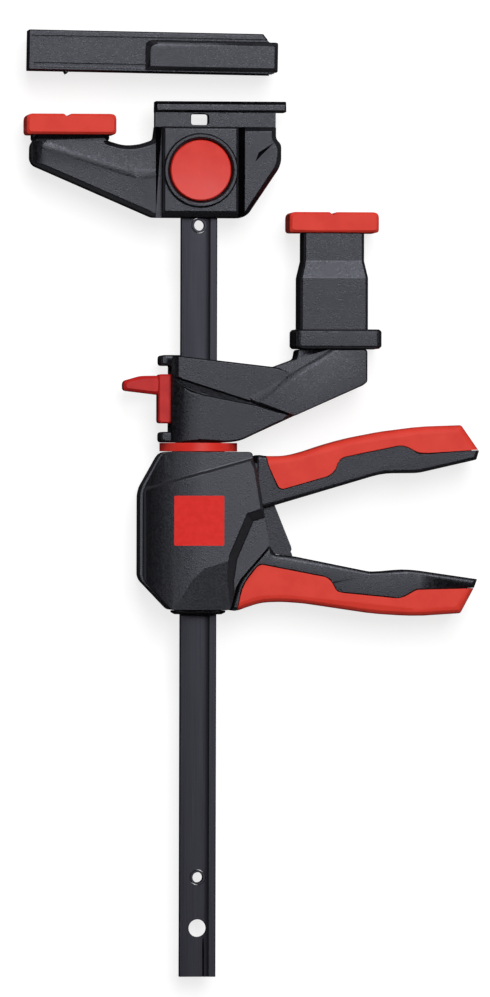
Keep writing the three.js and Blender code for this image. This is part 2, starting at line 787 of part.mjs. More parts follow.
const bezelBore = bezelRadius - bezelWall;
const buttonRadius = bezelBore - buttonGap;
const buttonTop = blockFront + buttonRise;

function bezel() {
  const low = blockFront + seatGap;
  const sleeve = bezelBore + bezelSleeveWall;
  return turnedAboutButton([
    [bezelBore, blockFront - bezelSleeveDepth],
    [sleeve, blockFront - bezelSleeveDepth],
    [sleeve, low],
    [bezelRadius, low],
    [bezelRadius, low + bezelRise / 2],
    [bezelRadius - bezelRise / 3, low + bezelRise],
    [bezelBore + bezelRise / 3, low + bezelRise],
    [bezelBore, low + bezelRise / 2],
  ]);
}

function button() {
  const roof = buttonTop - buttonCapThickness;
  const inside = buttonRadius - buttonSkirtWall;
  const edge = buttonDish;
  return turnedAboutButton([
    [0, roof],
    [inside, roof],
    [inside, roof - buttonSkirtDepth],
    [buttonRadius, roof - buttonSkirtDepth],
    [buttonRadius, buttonTop - edge],
    [buttonRadius - edge, buttonTop],
    [buttonRadius / 2, buttonTop - buttonDish * 0.75],
    [0, buttonTop - buttonDish],
  ]);
}

// Two legs that straddle the bar carry a plate behind it. Its pin bites into the bar's lock
// hole from the back, and a push on the button takes it out.
function lockStirrup() {
  const half = stirrupWidth / 2;
  const outside = stirrupLegInside + stirrupLegThickness;
  const plateTop = -barThickness / 2 - stirrupDrop;
  const plateLow = plateTop - stirrupPlate;
  const legTop = buttonTop - buttonCapThickness - seatGap;
  const across = [buttonY - half, buttonY + half];
  return join(
    box([-outside, outside], across, [plateLow, plateTop]),
    box([stirrupLegInside, outside], across, [plateLow, legTop]),
    box([-outside, -stirrupLegInside], across, [plateLow, legTop]),
    rodAlongZ(lockPinRadius, 0, buttonY, [plateLow, lockPinBite - barThickness / 2]),
  );
}

function buttonSpring() {
  const low = wellFloor + seatGap;
  const high = buttonTop - buttonCapThickness - seatGap;
  const geometry = coil(buttonSpringRadius, buttonSpringWire, buttonSpringTurns, high - low);
  geometry.rotateX(Math.PI / 2);
  geometry.translate(0, buttonY, low);
  return solidOf(geometry);
}

// Sliding jaw

const slidingJawAt = upperStopY - slidingJawBelowStop;
const slidingFrame = {
  y: slidingJawAt,
  right: slidingJawReach,
  left: slidingSleeveLeft,
  up: slidingJawHeight,
};
const slidingTop = slidingJawAt + slidingJawHeight;
const columnTop = slidingJawAt + slidingJawHeight * slidingJawShares[5][1];
const columnX = (slidingJawReach * (slidingJawShares[5][0] + slidingJawShares[6][0])) / 2;
const postX = columnX + postOffset;
const brakeY = slidingJawAt + brakeAboveFoot;
const brakePivotX = barWidth / 2 + brakePivotFromBar;
const brakeLift = brakePlateLength * Math.sin(THREE.MathUtils.degToRad(brakeTilt));
const brakeFloor = brakeY - brakeSpringHeight - brakePlateThickness / 2 - seatGap;
const lugTop = slidingTop - lugHeight;
const lugFoot = slidingJawAt + lugHeight;
const leverFoot = (lugFoot + lugTop - leverHeight) / 2;
const leverLeft = -slidingSleeveLeft - leverThickness;
const leverInside = -slidingSleeveLeft + leverPocketBehind;
const leverSwing = (leverHeight / 2) * Math.sin(THREE.MathUtils.degToRad(brakeTilt));
const leverPocketEnd = leverInside + leverRoom + leverSwing;

// What lies in front of the slope that leads down from the arm to the sleeve.
function armSlope(face) {
  const crease = place(armCreaseShares, slidingFrame).map(([x, y]) => new THREE.Vector2(x, y));
  const along = crease[1].clone().sub(crease[0]);
  const drop = (slidingArmDepth - slidingSleeveDepth) / 2;
  const size = slidingJawReach;
  const tool = new THREE.BoxGeometry(2 * size, 2 * size, size);
  tool.translate(0, 0, size / 2);
  tool.rotateX(-Math.atan2(drop, slidingBandWidth));
  tool.rotateZ(along.angle());
  tool.translate(crease[0].x, crease[0].y, slidingArmDepth / 2);
  if (face < 0) tool.scale(1, 1, -1);
  return solidOf(face < 0 ? flipped(tool) : tool);
}

// Turns the faces of a mirrored geometry the right way round again.
function flipped(geometry) {
  const loose = geometry.index ? geometry.toNonIndexed() : geometry;
  const p = loose.attributes.position;
  for (let i = 0; i < p.count; i += 3) {
    const a = [p.getX(i), p.getY(i), p.getZ(i)];
    p.setXYZ(i, p.getX(i + 1), p.getY(i + 1), p.getZ(i + 1));
    p.setXYZ(i + 1, ...a);
  }
  return loose;
}

function slidingJaw() {
  const soft = { edge: slidingEdge, rounding: slidingCornerRound };
  const flank = (start, drop, depth, steps) =>
    flankedSpace({
      end: -slidingSleeveLeft,
      start: -start,
      depth,
      drop,
      low: slidingJawAt - slidingJawHeight,
      high: slidingTop + slidingJawHeight,
      steps,
    });
  const upper = slab(place(slidingUpperShares, slidingFrame), slidingSleeveDepth, soft).intersect(
    flank(slidingChamferStart, slidingChamferDrop, slidingSleeveDepth, 1),
  );
  const lower = slab(place(slidingLowerShares, slidingFrame), slidingLowerDepth, soft).intersect(
    flank(slidingCrownStart, slidingCrownDrop, slidingLowerDepth),
  );
  const arm = cut(
    slab(place(slidingArmShares, slidingFrame), slidingArmDepth, soft),
    armSlope(1),
    armSlope(-1),
  );
  const core = slab(place(slidingJawShares, slidingFrame), slidingCoreDepth, soft).intersect(
    flank(slidingChamferStart, slidingChamferDrop, slidingSleeveDepth, 1),
  );
  const lug = (low) =>
    slab(
      [
        [-slidingSleeveLeft - lugReach, low],
        [lugReach - slidingSleeveLeft, low, 0],
        [lugReach - slidingSleeveLeft, low + lugHeight, 0],
        [-slidingSleeveLeft - lugReach, low + lugHeight],
      ],
      lugDepth,
      { edge: slidingEdge / 2, rounding: slidingCornerRound },
    );
  const spigotWidth = postLowerWidth - 2 * postWall - 2 * seatGap;
  const spigotDepth = postUpperDepth - 2 * postWall - 2 * seatGap;
  const spigot = box(
    [postX - spigotWidth / 2, postX + spigotWidth / 2],
    [columnTop - cutOverrun, columnTop + spigotHeight],
    [-spigotDepth / 2, spigotDepth / 2],
  );
  const pocket = leverDepth / 2 + leverRoom;
  const chamber = brakePlateDepth / 2 + turnGap;
  return cut(
    join(core, upper, lower, arm, lug(slidingJawAt), lug(lugTop), spigot),
    barTunnel(slidingJawAt - cutOverrun, slidingTop + cutOverrun),
    box([-2 * slidingSleeveLeft, leverPocketEnd], [lugFoot, lugTop], [-pocket, pocket]),
    box(
      [leverInside, brakePivotX + brakePlateThickness],
      [brakeFloor, brakeY + brakePlateThickness / 2 + brakeLift + 2 * turnGap],
      [-chamber, chamber],
    ),
    turned(
      ringSection(0, coreSpigotRadius + seatGap, -cutOverrun, coreSpigotHeight + seatGap),
      slidingJawAt,
    ),
  );
}

// Tilts a piece of the brake about the end that the plate swings on.
function tiltedBrake(geometry) {
  geometry.translate(-brakePivotX, -brakeY, 0);
  geometry.rotateZ(THREE.MathUtils.degToRad(-brakeTilt));
  geometry.translate(brakePivotX, brakeY, 0);
  return solidOf(geometry);
}

function brakeBlank(room) {
  const geometry = new THREE.BoxGeometry(
    brakePlateLength + 2 * room,
    brakePlateThickness + 2 * room,
    brakePlateDepth / 2 + 2 * room,
  );
  geometry.translate(brakePivotX - brakePlateLength / 2, brakeY, 0);
  return tiltedBrake(geometry);
}

function brakePlate() {
  const left = -barWidth / 2 - brakeRim;
  const wide = new THREE.BoxGeometry(brakePivotX - left, brakePlateThickness, brakePlateDepth);
  wide.translate((brakePivotX + left) / 2, brakeY, 0);
  const window = new THREE.BoxGeometry(
    barWidth + 2 * brakeWindowRoom,
    brakePlateThickness + cutOverrun,
    barThickness + 2 * brakeWindowRoom,
  );
  window.translate(0, brakeY, 0);
  return cut(join(brakeBlank(0), tiltedBrake(wide)), tiltedBrake(window));
}

function releaseLever() {
  const top = leverFoot + leverHeight;
  const upright = slab(
    [[leverLeft, leverFoot], [leverInside, leverFoot], [leverInside, top], [leverLeft, top]],
    leverDepth,
    { edge: slidingEdge / 2, rounding: slidingEdge },
  );
  const tab = slab(
    place(leverTabShares, {
      x: leverLeft + slidingEdge,
      y: leverFoot,
      right: -leverTabReach,
      up: leverHeight,
    }),
    leverTabDepth,
    { edge: slidingEdge, rounding: slidingCornerRound },
  );
  return cut(join(upright, tab), brakeBlank(seatGap));
}

function brakeSpring() {
  const low = brakeFloor + seatGap;
  const high = brakeY - brakePlateThickness / 2 - seatGap;
  const geometry = coil(brakeSpringRadius, brakeSpringWire, brakeSpringTurns, high - low);
  const outward = brakePlateDepth / 2 - brakeSpringRadius - brakeSpringWire;
  geometry.translate(barWidth / 4, low, outward);
  return solidOf(geometry);
}

// Post, collar

function postLoft() {
  const levels = [
    [0, postLowerWidth, postLowerDepth],
    [postLowerHeight, postLowerWidth, postLowerDepth],
    [postLowerHeight + postFacetHeight, postUpperWidth, postUpperDepth],
    [postLowerHeight + postFacetHeight + postUpperHeight, postUpperWidth, postUpperDepth],
  ];
  const rings = levels.map(([, width, depth]) => {
    const half = width / 2;
    const side = depth / 2;
    return [
      [half - postEdge, -side], [half, postEdge - side], [half, side - postEdge], [half - postEdge, side],
      [postEdge - half, side], [-half, side - postEdge], [-half, postEdge - side], [postEdge - half, -side],
    ].map(([x, z]) => new THREE.Vector2(x, z));
  });
  const lift = (ring, y) => ring.map((point) => new THREE.Vector3(point.x, -point.y, y));
  const lifted = rings.map((ring, i) => lift(ring, levels[i][0]));
  return loft(lifted.map((ring) => ring.reverse()), [...rings[0]]);
}

const postFoot = columnTop + seatGap;
const postTop = postFoot + postLowerHeight + postFacetHeight + postUpperHeight;

function post() {
  const headWidth = padWidth - 2 * padWall - 2 * seatGap;
  const insideX = postLowerWidth / 2 - postWall;
  const insideZ = postUpperDepth / 2 - postWall;
  return cut(
    join(
      postLoft().rotate([-90, 0, 0]).translate([postX, postFoot, 0]),
      padHead(postX, postTop + seatGap, Math.min(headWidth, postUpperWidth), postUpperDepth - 2 * padEdge),
    ),
    box(
      [postX - insideX, postX + insideX],
      [postFoot - cutOverrun, postFoot + spigotHeight],
      [-insideZ, insideZ],
    ),
  );
}

function collar() {
  const half = collarWidth / 2;
  const inX = postLowerWidth / 2 + seatGap;
  const inZ = postLowerDepth / 2 + seatGap;
  const foot = postFoot;
  const flat = slab(
    [
      [-half, -collarDepth / 2],
      [half, -collarDepth / 2],
      [half, collarDepth / 2],
      [-half, collarDepth / 2],
    ],
    collarHeight,
    { edge: collarEdge, rounding: collarRound },
  );
  return cut(
    flat.rotate([-90, 0, 0]).translate([postX + collarOffset, foot + collarHeight / 2, 0]),
    box([postX - inX, postX + inX], [foot - cutOverrun, foot + collarHeight + cutOverrun], [-inZ, inZ]),
  );
}

// Swivel between the sliding jaw and the housing

const ringTop = slidingJawAt - ringGap;
const housingTop = ringTop - ringHeight - ringGap;
const housingFootY = housingTop - housingHeight;

function swivelRing() {
  return turned(ringSection(coreRadius + turnGap, ringRadius, -ringHeight, 0), ringTop, 64);
}

// It is fixed in the jaw, and the housing turns on it.
function swivelCore() {
  const flangeTopY = housingTop - housingTopWall - turnGap;
  const flangeLow = flangeTopY - coreFlangeHeight;
  const shoulder = slidingJawAt - seatGap;
  return cut(
    turned([
      [0, flangeLow],
      [coreFlangeRadius, flangeLow],
      [coreFlangeRadius, flangeTopY],
      [coreRadius, flangeTopY],
      [coreRadius, shoulder],
      [coreSpigotRadius, shoulder],
      [coreSpigotRadius, slidingJawAt + coreSpigotHeight],
      [0, slidingJawAt + coreSpigotHeight],
    ]),
    barTunnel(flangeLow - cutOverrun, slidingTop),
  );
}

function lowerBush() {
  const rim = housingFootY - housingFoot;
  const wallTop = housingFootY + housingWall;
  return turned([
    [bushBore, rim],
    [bushRimRadius - bushRimHeight, rim],
    [bushRimRadius, rim + bushRimHeight / 2],
    [bushRimRadius, housingFootY - seatGap],
    [bushRadius, housingFootY - seatGap],
    [bushRadius, wallTop + seatGap],
    [bushFlangeRadius, wallTop + seatGap],
    [bushFlangeRadius, wallTop + seatGap + bushFlangeHeight],
    [bushBore, wallTop + seatGap + bushFlangeHeight],
  ]);
}

// Housing

const housingFrame = { y: housingFootY, right: housingRight, left: housingLeft, up: housingHeight };

// A sloping facet as a cutting block that starts at a crease and runs away to its left,
// lowered by the wall for the inside.
function slopingFacet(creaseShares, slope, shrink, face) {
  const [start, end] = place(creaseShares, housingFrame).map(([x, y]) => new THREE.Vector2(x, y));
  const size = housingHeight;
  const tool = new THREE.BoxGeometry(3 * size, size, size);
  tool.translate(0, size / 2, size / 2);
  tool.rotateX(-THREE.MathUtils.degToRad(slope));
  tool.rotateZ(end.clone().sub(start).angle());
  tool.translate(start.x, start.y, housingDepth / 2 - shrink);
  if (face < 0) tool.scale(1, 1, -1);
  return solidOf(face < 0 ? flipped(tool) : tool);
}

// The set-back facet beside the lower handle, with a slope that leads down to it.
function sideFacet(shrink, face) {
  const slopeHeight = (housingDepth - housingSideDepth) / 2;
  const tall = 2 * slopeHeight + 2 * cutOverrun;
  return slab(place(housingSideShares, housingFrame), 2 * tall, {
    edge: housingSideSlope,
    edgeHeight: slopeHeight,
    at: face * (housingSideDepth / 2 - shrink + tall),
  });
}

// The space under the crowned front or back. Above the crease it is set back, by a slope
// that follows the crown.
function crownedSpace(shrink, face) {
  const low = housingFootY - housingHeight;
  const right = 2 * housingRight;
  const flanks = (setBack) =>
    flankedSpace({
      end: shrink + housingRim - housingLeft,
      start: face > 0 ? frontCrownStart : -backCrownStart,
      depth: housingDepth - 2 * (shrink + setBack),
      drop: face > 0 ? frontCrownDrop : backCrownDrop,
      low,
      high: housingTop + housingHeight,
      steps: crownSteps,
    });
  const [[startX, startY], [endX, endY]] = place(topCreaseShares, housingFrame);
  const rise = (endY - startY) / (endX - startX);
  const fall = (face * housingStep) / housingStepWidth;
  const slope = new THREE.Matrix4().makeShear(0, fall * rise, 0, -fall, 0, 0);
  slope.setPosition(0, 0, fall * (startY - rise * startX));
  const belowCrease = slab(
    [[startX, low], [right, low], [right, startY + rise * (right - startX)], [startX, startY]],
    2 * housingDepth,
  );
  const full = flanks(0);
  const sloped = full.transform(slope.elements);
  return full.intersect(join(belowCrease, sloped, flanks(housingStep)));
}

function housingForm(shrink, face) {
  const bodyFrame = { ...housingFrame, left: housingLeft - housingRim };
  const body = slab(drawnIn(place(housingShares, bodyFrame), shrink), housingDepth - 2 * shrink, {
    edge: housingEdge,
    rounding: housingRound,
  });
  const rimDepth = housingDepth - 2 * (shrink + frontCrownDrop);
  const rim = slab(drawnIn(place(housingShares, housingFrame), shrink), rimDepth, {
    rounding: housingRound,
  });
  const facets = [slopingFacet(footCreaseShares, footFacetSlope, shrink, face), sideFacet(shrink, face)];
  return cut(join(body.intersect(crownedSpace(shrink, face)), rim), ...facets);
}

function screwPlaces() {
  return place(screwShares, housingFrame);
}

function bushSeat() {
  const wallTop = housingFootY + housingWall;
  const flangeRoom = bushFlangeRadius + seatGap;
  return [
    turned(ringSection(0, bushRadius + seatGap, housingFootY - cutOverrun, wallTop + seatGap)),
    turned(ringSection(0, flangeRoom, wallTop, wallTop + bushFlangeHeight + 2 * seatGap)),
  ];
}

// One half of the housing, with its half of the bosses that the screws go through.
function shell(face) {
  const half = housingDepth / 2;
  const insideTop = housingTop - housingTopWall;
  const cavity = cut(
    housingForm(housingWall, face),
    box([-housingLeft, housingRight], [insideTop, housingTop], [-half, half]),
  );
  const headFloor = screwSink + screwHeadHeight - half;
  const shankEnd = half - screwTipFromFront + seatGap;
  const posts = screwPlaces().map(([x, y]) => rodAlongZ(bossRadius, x, y, [-half, half], 20));
  const bosses = posts.map((boss) => boss.intersect(housingForm(housingWall / 2, face)));
  const mouth = slab(place(housingMouthShares, housingFrame), handleDepth + 2 * slideGap);
  const whole = cut(
    join(cut(housingForm(0, face), cavity), ...bosses),
    mouth,
    turned(ringSection(0, coreRadius + turnGap, insideTop - cutOverrun, housingTop + cutOverrun)),
    ...bushSeat(),
    ...screwPlaces().map(([x, y]) =>
      rodAlongZ(screwShank + seatGap, x, y, [-half - cutOverrun, shankEnd], 16),
    ),
    ...screwPlaces().map(([x, y]) =>
      rodAlongZ(screwHeadRadius + seatGap, x, y, [-half - cutOverrun, headFloor], 20),
    ),
  );
  const parting = partingGap / 2;
  return whole.intersect(
    box(
      [-2 * housingLeft, 2 * housingRight],
      [housingFootY - housingHeight, housingTop + housingHeight],
      face > 0 ? [parting, housingDepth] : [-housingDepth, -parting],
    ),
  );
}

function screw([x, y]) {
  const half = housingDepth / 2;
  const headTop = -half + screwSink + screwHeadHeight - seatGap;
  const drive = screwHeadRadius / 2;
  return cut(
    join(
      rodAlongZ(screwHeadRadius, x, y, [headTop - screwHeadHeight, headTop], 20),
      rodAlongZ(screwShank, x, y, [headTop - screwHeadHeight / 2, half - screwTipFromFront], 16),
    ),
    rodAlongZ(drive, x, y, [headTop - 2 * screwHeadHeight, headTop - screwHeadHeight / 2], 6),
  );
}

// Handles

const upperFrame = {
  x: upperHandleAt,
  y: housingTop + upperHandleRise - upperHandleHeight,
  right: upperHandleLength,
  up: upperHandleHeight,
};
const pivot = { x: pivotFromBar, y: housingFootY + pivotAboveFoot };
const lowerFrame = {
  x: lowerHandleAt,
  y: housingFootY - lowerHandleDrop,
  right: lowerHandleLength,
  up: lowerHandleHeight,
};

const upperHandle = {
  frame: upperFrame,
  whole: upperHandleShares,
  hard: upperHardShares,
  core: upperCoreShares,
};
const lowerHandle = {
  frame: lowerFrame,
  whole: lowerHandleShares,
  hard: lowerHardShares,
  core: lowerCoreShares,
};

// The hard core that runs on inside a soft grip.
function gripCore({ frame, core }, room) {
  return slab(drawnIn(place(core, frame), -room), gripCoreDepth + 2 * room, { rounding: handleRound });
}

function softGrip(handle) {
  const outside = slab(place(handle.whole, handle.frame), gripDepth, {
    edge: gripEdge,
    rounding: gripRound,
    soft: true,
  });
  const hard = drawnIn(place(handle.hard, handle.frame), -seatGap / 2);
  return cut(outside, slab(hard, 2 * gripDepth, { rounding: handleRound }), gripCore(handle, seatGap));
}

function hardFrame(handle) {
  const outside = slab(place(handle.whole, handle.frame), handleDepth, {
    edge: handleEdge,
    rounding: handleRound,
    soft: true,
  });
  const hard = drawnIn(place(handle.hard, handle.frame), seatGap / 2);
  return join(outside.intersect(slab(hard, 2 * gripDepth, { rounding: handleRound })), gripCore(handle, 0));
}

function upperFrameSolid() {
  const root = slab(place(handleRootShares, housingFrame), handleDepth - 2 * seatGap);
  const web = join(
    slab(place(webShares, housingFrame), webDepth, { rounding: handleRound }),
    rodAlongZ(webRadius, pivot.x, pivot.y, [-webDepth / 2, webDepth / 2], 32),
  );
  return cut(
    join(hardFrame(upperHandle), root, web),
    rodAlongZ(pivotPinRadius + turnGap, pivot.x, pivot.y, [-webDepth, webDepth]),
    ...screwPlaces().map(([x, y]) =>
      rodAlongZ(bossRadius + seatGap, x, y, [-handleDepth, handleDepth], 20),
    ),
  );
}

// The pumping handle: two cheeks straddle the web, and two noses reach on to the thrust ring.
function lowerFrameSolid() {
  const slot = webDepth / 2 + webSlotRoom;
  const around = webRadius + webSlotRoom;
  const noseFrame = { y: pivot.y, right: pivotFromBar, up: thrustAbovePivot };
  const noses = slab(place(noseShares, noseFrame), noseDepth, {
    rounding: handleEdge,
  });
  return cut(
    join(hardFrame(lowerHandle), noses),
    box([-pivotFromBar, pivot.x + around], [pivot.y - around, housingTop], [-slot, slot]),
    rodAlongZ(pivotPinRadius + turnGap, pivot.x, pivot.y, [-handleDepth, pivotPinFront + turnGap]),
  );
}

function pivotPin() {
  return rodAlongZ(pivotPinRadius, pivot.x, pivot.y, [seatGap - handleDepth / 2, pivotPinFront]);
}

// Feed

const thrustTop = pivot.y + thrustAbovePivot;
const feedTop = thrustTop - thrustRingHeight - seatGap;
const feedLow = feedTop - feedPlateCount * feedPlateThickness - (feedPlateCount - 1) * seatGap;

function thrustRing() {
  return turned(ringSection(thrustRingBore, thrustRingRadius, -thrustRingHeight, 0), thrustTop);
}

// One of the thin steel plates that tip and bite into the bar when the ring pushes them.
function feedPlate(level) {
  const top = feedTop - level * (feedPlateThickness + seatGap);
  return cut(
    turned(ringSection(0, feedPlateRadius, -feedPlateThickness, 0), top),
    barTunnel(feedLow - cutOverrun, feedTop + cutOverrun),
  );
}

function feedSpring() {
  const low = housingFootY + housingWall + seatGap + bushFlangeHeight + seatGap;
  const geometry = coil(feedSpringRadius, feedSpringWire, feedSpringTurns, feedLow - seatGap - low);
  geometry.translate(0, low, 0);
  return solidOf(geometry);
}

// Adapter bar, laid out from its lower left corner and then put in its place

const adapterRight = neckRight + 2 * seatGap;

function adapterBar() {
  const blockEnd = adapterLength;
  const half = adapterDepth / 2;
  const main = slab(
    [
      [0, 0],
      [blockEnd - adapterNoseChamfer / 2, 0],
      [blockEnd - adapterNoseChamfer / 2, adapterHeight - adapterNoseChamfer],
      [blockEnd - adapterNoseChamfer * 1.3, adapterHeight],
      [0, adapterHeight],
    ],
    adapterDepth,
    { edge: adapterEdge },
  );
  const recesses = [1, -1].map((face) =>
    box(
      [adapterRim / 2, blockEnd],
      [adapterFoot, adapterHeight - adapterRim],
      face > 0 ? [adapterFaceDepth / 2, adapterDepth] : [-adapterDepth, -adapterFaceDepth / 2],
    ),
  );
  const strips = [1, -1].map((face) =>
    box(
      [adapterRim, adapterBlockStart],
      [adapterRim / 2, adapterFoot - adapterRim / 3],
      face > 0 ? [half - adapterEdge, adapterDepth] : [-adapterDepth, adapterEdge - half],
    ),
  );
  const block = slab(
    [
      [adapterBlockStart, adapterRim / 3, 0],
      [blockEnd, adapterRim / 3, 0.3],
      [blockEnd, adapterBlockHeight, 0.3],
      [adapterBlockStart, adapterBlockHeight],
    ],
    adapterBlockDepth,
    { edge: adapterBlockEdge, rounding: adapterBlockRound },
  );
  const channelHalf = flangeDepth / 2 + adapterChannelRoom;
  const channel = box(
    [adapterChannelStart, blockEnd + cutOverrun],
    [-cutOverrun, adapterChannelHeight],
    [-channelHalf, channelHalf],
  );
  const lugX = fixedPadX + fixedNotchOffset + adapterLength - adapterRight;
  const lug = slab(
    [
      [lugX - adapterLugWidth / 2, adapterEdge],
      [lugX, -adapterLugHeight],
      [lugX + adapterLugWidth / 2, adapterEdge],
    ],
    adapterFaceDepth,
  );
  return cut(join(cut(main, ...recesses, ...strips), block, lug), channel);
}

function putAdapter(mesh) {
  const seat = armTop + seatGap + padHeight;
  mesh.rotation.z = -THREE.MathUtils.degToRad(adapterLean);
  const overhang = adapterLength + fixedPadX - adapterRight;
  const leanDrop = Math.sin(THREE.MathUtils.degToRad(adapterLean)) * overhang;
  mesh.position.set(adapterRight - adapterLength, seat + adapterSeatRoom + adapterLift + leanDrop, 0);
}

// The clamp

addPiece("bar", bar(), blackSteel);
addPiece("upper_stop_pin", stopPin(upperStopY), blackSteel);
addPiece("lower_stop_pin", stopPin(lowerStopFromEnd), brightSteel);
addPiece("fixed_jaw_body", fixedJaw(), charcoal);
addPiece("fixed_jaw_pad", pad(fixedPadX, armTop + seatGap, fixedNotchOffset), signalRed);
addPiece("button_bezel", bezel(), charcoal);
addPiece("release_button", button(), signalRed);
addPiece("lock_stirrup", lockStirrup(), brightSteel);
addPiece("button_spring", buttonSpring(), brightSteel);
addPiece("sliding_jaw_body", slidingJaw(), charcoal);
addPiece("jaw_post", post(), charcoal);
addPiece("post_collar", collar(), charcoal);
addPiece("sliding_jaw_pad", pad(postX, postTop + seatGap, slidingNotchOffset), signalRed);
addPiece("brake_plate", brakePlate(), brightSteel);
addPiece("brake_spring", brakeSpring(), brightSteel);
addPiece("release_lever", releaseLever(), signalRed);
addPiece("swivel_ring", swivelRing(), signalRed);
addPiece("swivel_core", swivelCore(), acetal);
addPiece("lower_bush", lowerBush(), charcoal);
addPiece("front_shell", shell(1), charcoal);
addPiece("back_shell", shell(-1), charcoal);
const screwNames = ["upper_screw", "lower_screw", "right_screw"];
screwPlaces().forEach((at, i) => addPiece(screwNames[i], screw(at), brightSteel));
addPiece("handle_frame", upperFrameSolid(), charcoal);
addPiece("handle_grip", softGrip(upperHandle), signalRed);
addPiece("pump_lever_frame", lowerFrameSolid(), charcoal);
addPiece("pump_lever_grip", softGrip(lowerHandle), signalRed);
addPiece("lever_pivot_pin", pivotPin(), brightSteel);
addPiece("thrust_ring", thrustRing(), brightSteel);
for (let level = 0; level < feedPlateCount; level += 1) {
  addPiece(`feed_plate_${level + 1}`, feedPlate(level), brightSteel);
}
addPiece("feed_spring", feedSpring(), brightSteel);
putAdapter(addPiece("adapter_bar", adapterBar(), charcoal));

// The origin lies at the middle of the underside
const bounds = new THREE.Box3().setFromObject(clamp, true);
const middle = bounds.getCenter(new THREE.Vector3());
clamp.position.set(-middle.x, -middle.y, -bounds.min.z);
clamp.updateMatrixWorld(true);

export default clamp;
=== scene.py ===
# %% [markdown]
# # A one-handed bar clamp, dressed for its picture
#
# The clamp lies on its back on a pale table, and we look straight down on it. Its solid parts
# come from the CAD model and keep their places. This script gives every part the finish that it
# has on the real tool, softens the edges that a mould or a file leaves soft, and adds the small
# things that CAD leaves out. All lengths are metres, in the CAD model's own frame: +X points to
# the handles, +Y along the bar to the fixed jaw and +Z up to the camera.

import json
import math

import bmesh
import bpy
from mathutils import Matrix, Vector
from mathutils.bvhtree import BVHTree
from mathutils.geometry import intersect_point_line

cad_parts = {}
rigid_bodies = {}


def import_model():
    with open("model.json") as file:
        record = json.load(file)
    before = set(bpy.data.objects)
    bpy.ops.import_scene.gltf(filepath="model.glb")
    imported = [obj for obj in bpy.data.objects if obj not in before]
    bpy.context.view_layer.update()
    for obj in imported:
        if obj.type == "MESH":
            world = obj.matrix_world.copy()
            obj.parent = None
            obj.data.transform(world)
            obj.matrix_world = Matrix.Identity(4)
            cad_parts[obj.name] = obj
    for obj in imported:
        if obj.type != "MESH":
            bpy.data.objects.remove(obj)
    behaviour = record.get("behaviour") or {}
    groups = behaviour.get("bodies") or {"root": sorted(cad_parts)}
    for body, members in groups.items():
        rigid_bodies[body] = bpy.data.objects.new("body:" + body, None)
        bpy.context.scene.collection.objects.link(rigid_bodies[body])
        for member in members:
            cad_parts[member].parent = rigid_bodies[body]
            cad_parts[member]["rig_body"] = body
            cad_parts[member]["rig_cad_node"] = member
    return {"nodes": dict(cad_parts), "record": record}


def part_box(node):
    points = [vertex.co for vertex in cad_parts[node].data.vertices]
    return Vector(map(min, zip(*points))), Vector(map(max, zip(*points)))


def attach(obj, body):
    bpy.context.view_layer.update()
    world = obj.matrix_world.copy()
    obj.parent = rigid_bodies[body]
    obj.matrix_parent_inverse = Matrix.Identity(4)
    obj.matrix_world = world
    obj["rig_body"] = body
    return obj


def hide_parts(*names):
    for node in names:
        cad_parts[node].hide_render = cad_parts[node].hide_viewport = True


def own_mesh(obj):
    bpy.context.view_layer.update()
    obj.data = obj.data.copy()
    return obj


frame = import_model()
nodes = frame["nodes"]
bodies = frame["record"]["behaviour"]["bodies"]
body_of = {name: body for body, names in bodies.items() for name in names}
slot_of = {part["node"]: part["material_slot"] for part in frame["record"]["subparts"]}
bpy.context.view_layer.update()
mm = 0.001

# %% [markdown]
# ## The camera
#
# The picture was taken from far away with a long lens, so parallel edges stay parallel. A short
# lens close by would make the near end of a 50 cm tool look bigger. The camera stands 5 degrees
# to the left of straight above, which is why a thin strip of each left side can be seen, and
# the clamp is turned by a hair in the frame.

# %% Make the camera
millimetres_per_pixel = 0.55
picture_height = 997 * millimetres_per_pixel * mm
lens = 400
sensor = 36
distance = picture_height * lens / sensor
aim = Vector((-3.9 * mm, 3.0 * mm, 30 * mm))
side_angle = math.radians(5)
roll = math.radians(0.15)

bpy.ops.object.select_all(action="DESELECT")
back = Vector((-math.sin(side_angle), 0, math.cos(side_angle)))
bpy.ops.object.camera_add(location=aim + back * distance)
camera = bpy.context.object
camera.name = "camera"
turn = Matrix.Rotation(-side_angle, 4, "Y") @ Matrix.Rotation(roll, 4, "Z")
camera.rotation_euler = turn.to_euler()
camera.data.lens = lens
camera.data.sensor_width = sensor
camera.data.clip_end = 4 * distance
bpy.context.scene.camera = camera
print(f"camera {distance:.2f} m away, looking down")

# %% [markdown]
# ## Light
#
# Dark plastic has hardly any colour of its own. What the eye sees on it is the shine of the
# lamp: faces that look at the lamp are grey and faces that turn away are nearly black. One soft
# lamp stands above the camera and a little to the right, as in the picture, where every left
# side is black and every rounded upper edge has a thin light line. Its power is such that a
# colour comes out about as light as it is written.

# %% Hang the lamp
lamp_size = 4.6
lamp_distance = 10.0
lamp_right = math.radians(5)
lamp_up = math.radians(18)
lamp_power = 710

direction = Vector((math.tan(lamp_right), math.tan(lamp_up), 1)).normalized()
bpy.ops.object.light_add(type="AREA", location=aim + direction * lamp_distance)
lamp = bpy.context.object
lamp.name = "softbox"
lamp.data.shape = "SQUARE"
lamp.data.size = lamp_size
lamp.data.energy = lamp_power
lamp.rotation_euler = direction.to_track_quat("Z", "Y").to_euler()
lamp.visible_camera = False

bpy.context.scene.view_settings.view_transform = "Standard"
print("lamp of", lamp_size, "m at", [round(v, 2) for v in lamp.location])

# %% [markdown]
# A second, weaker strip light stands far behind the fixed jaw. Flat faces don't mirror it, but
# each rounded upper edge does, and that draws the thin light line along it.

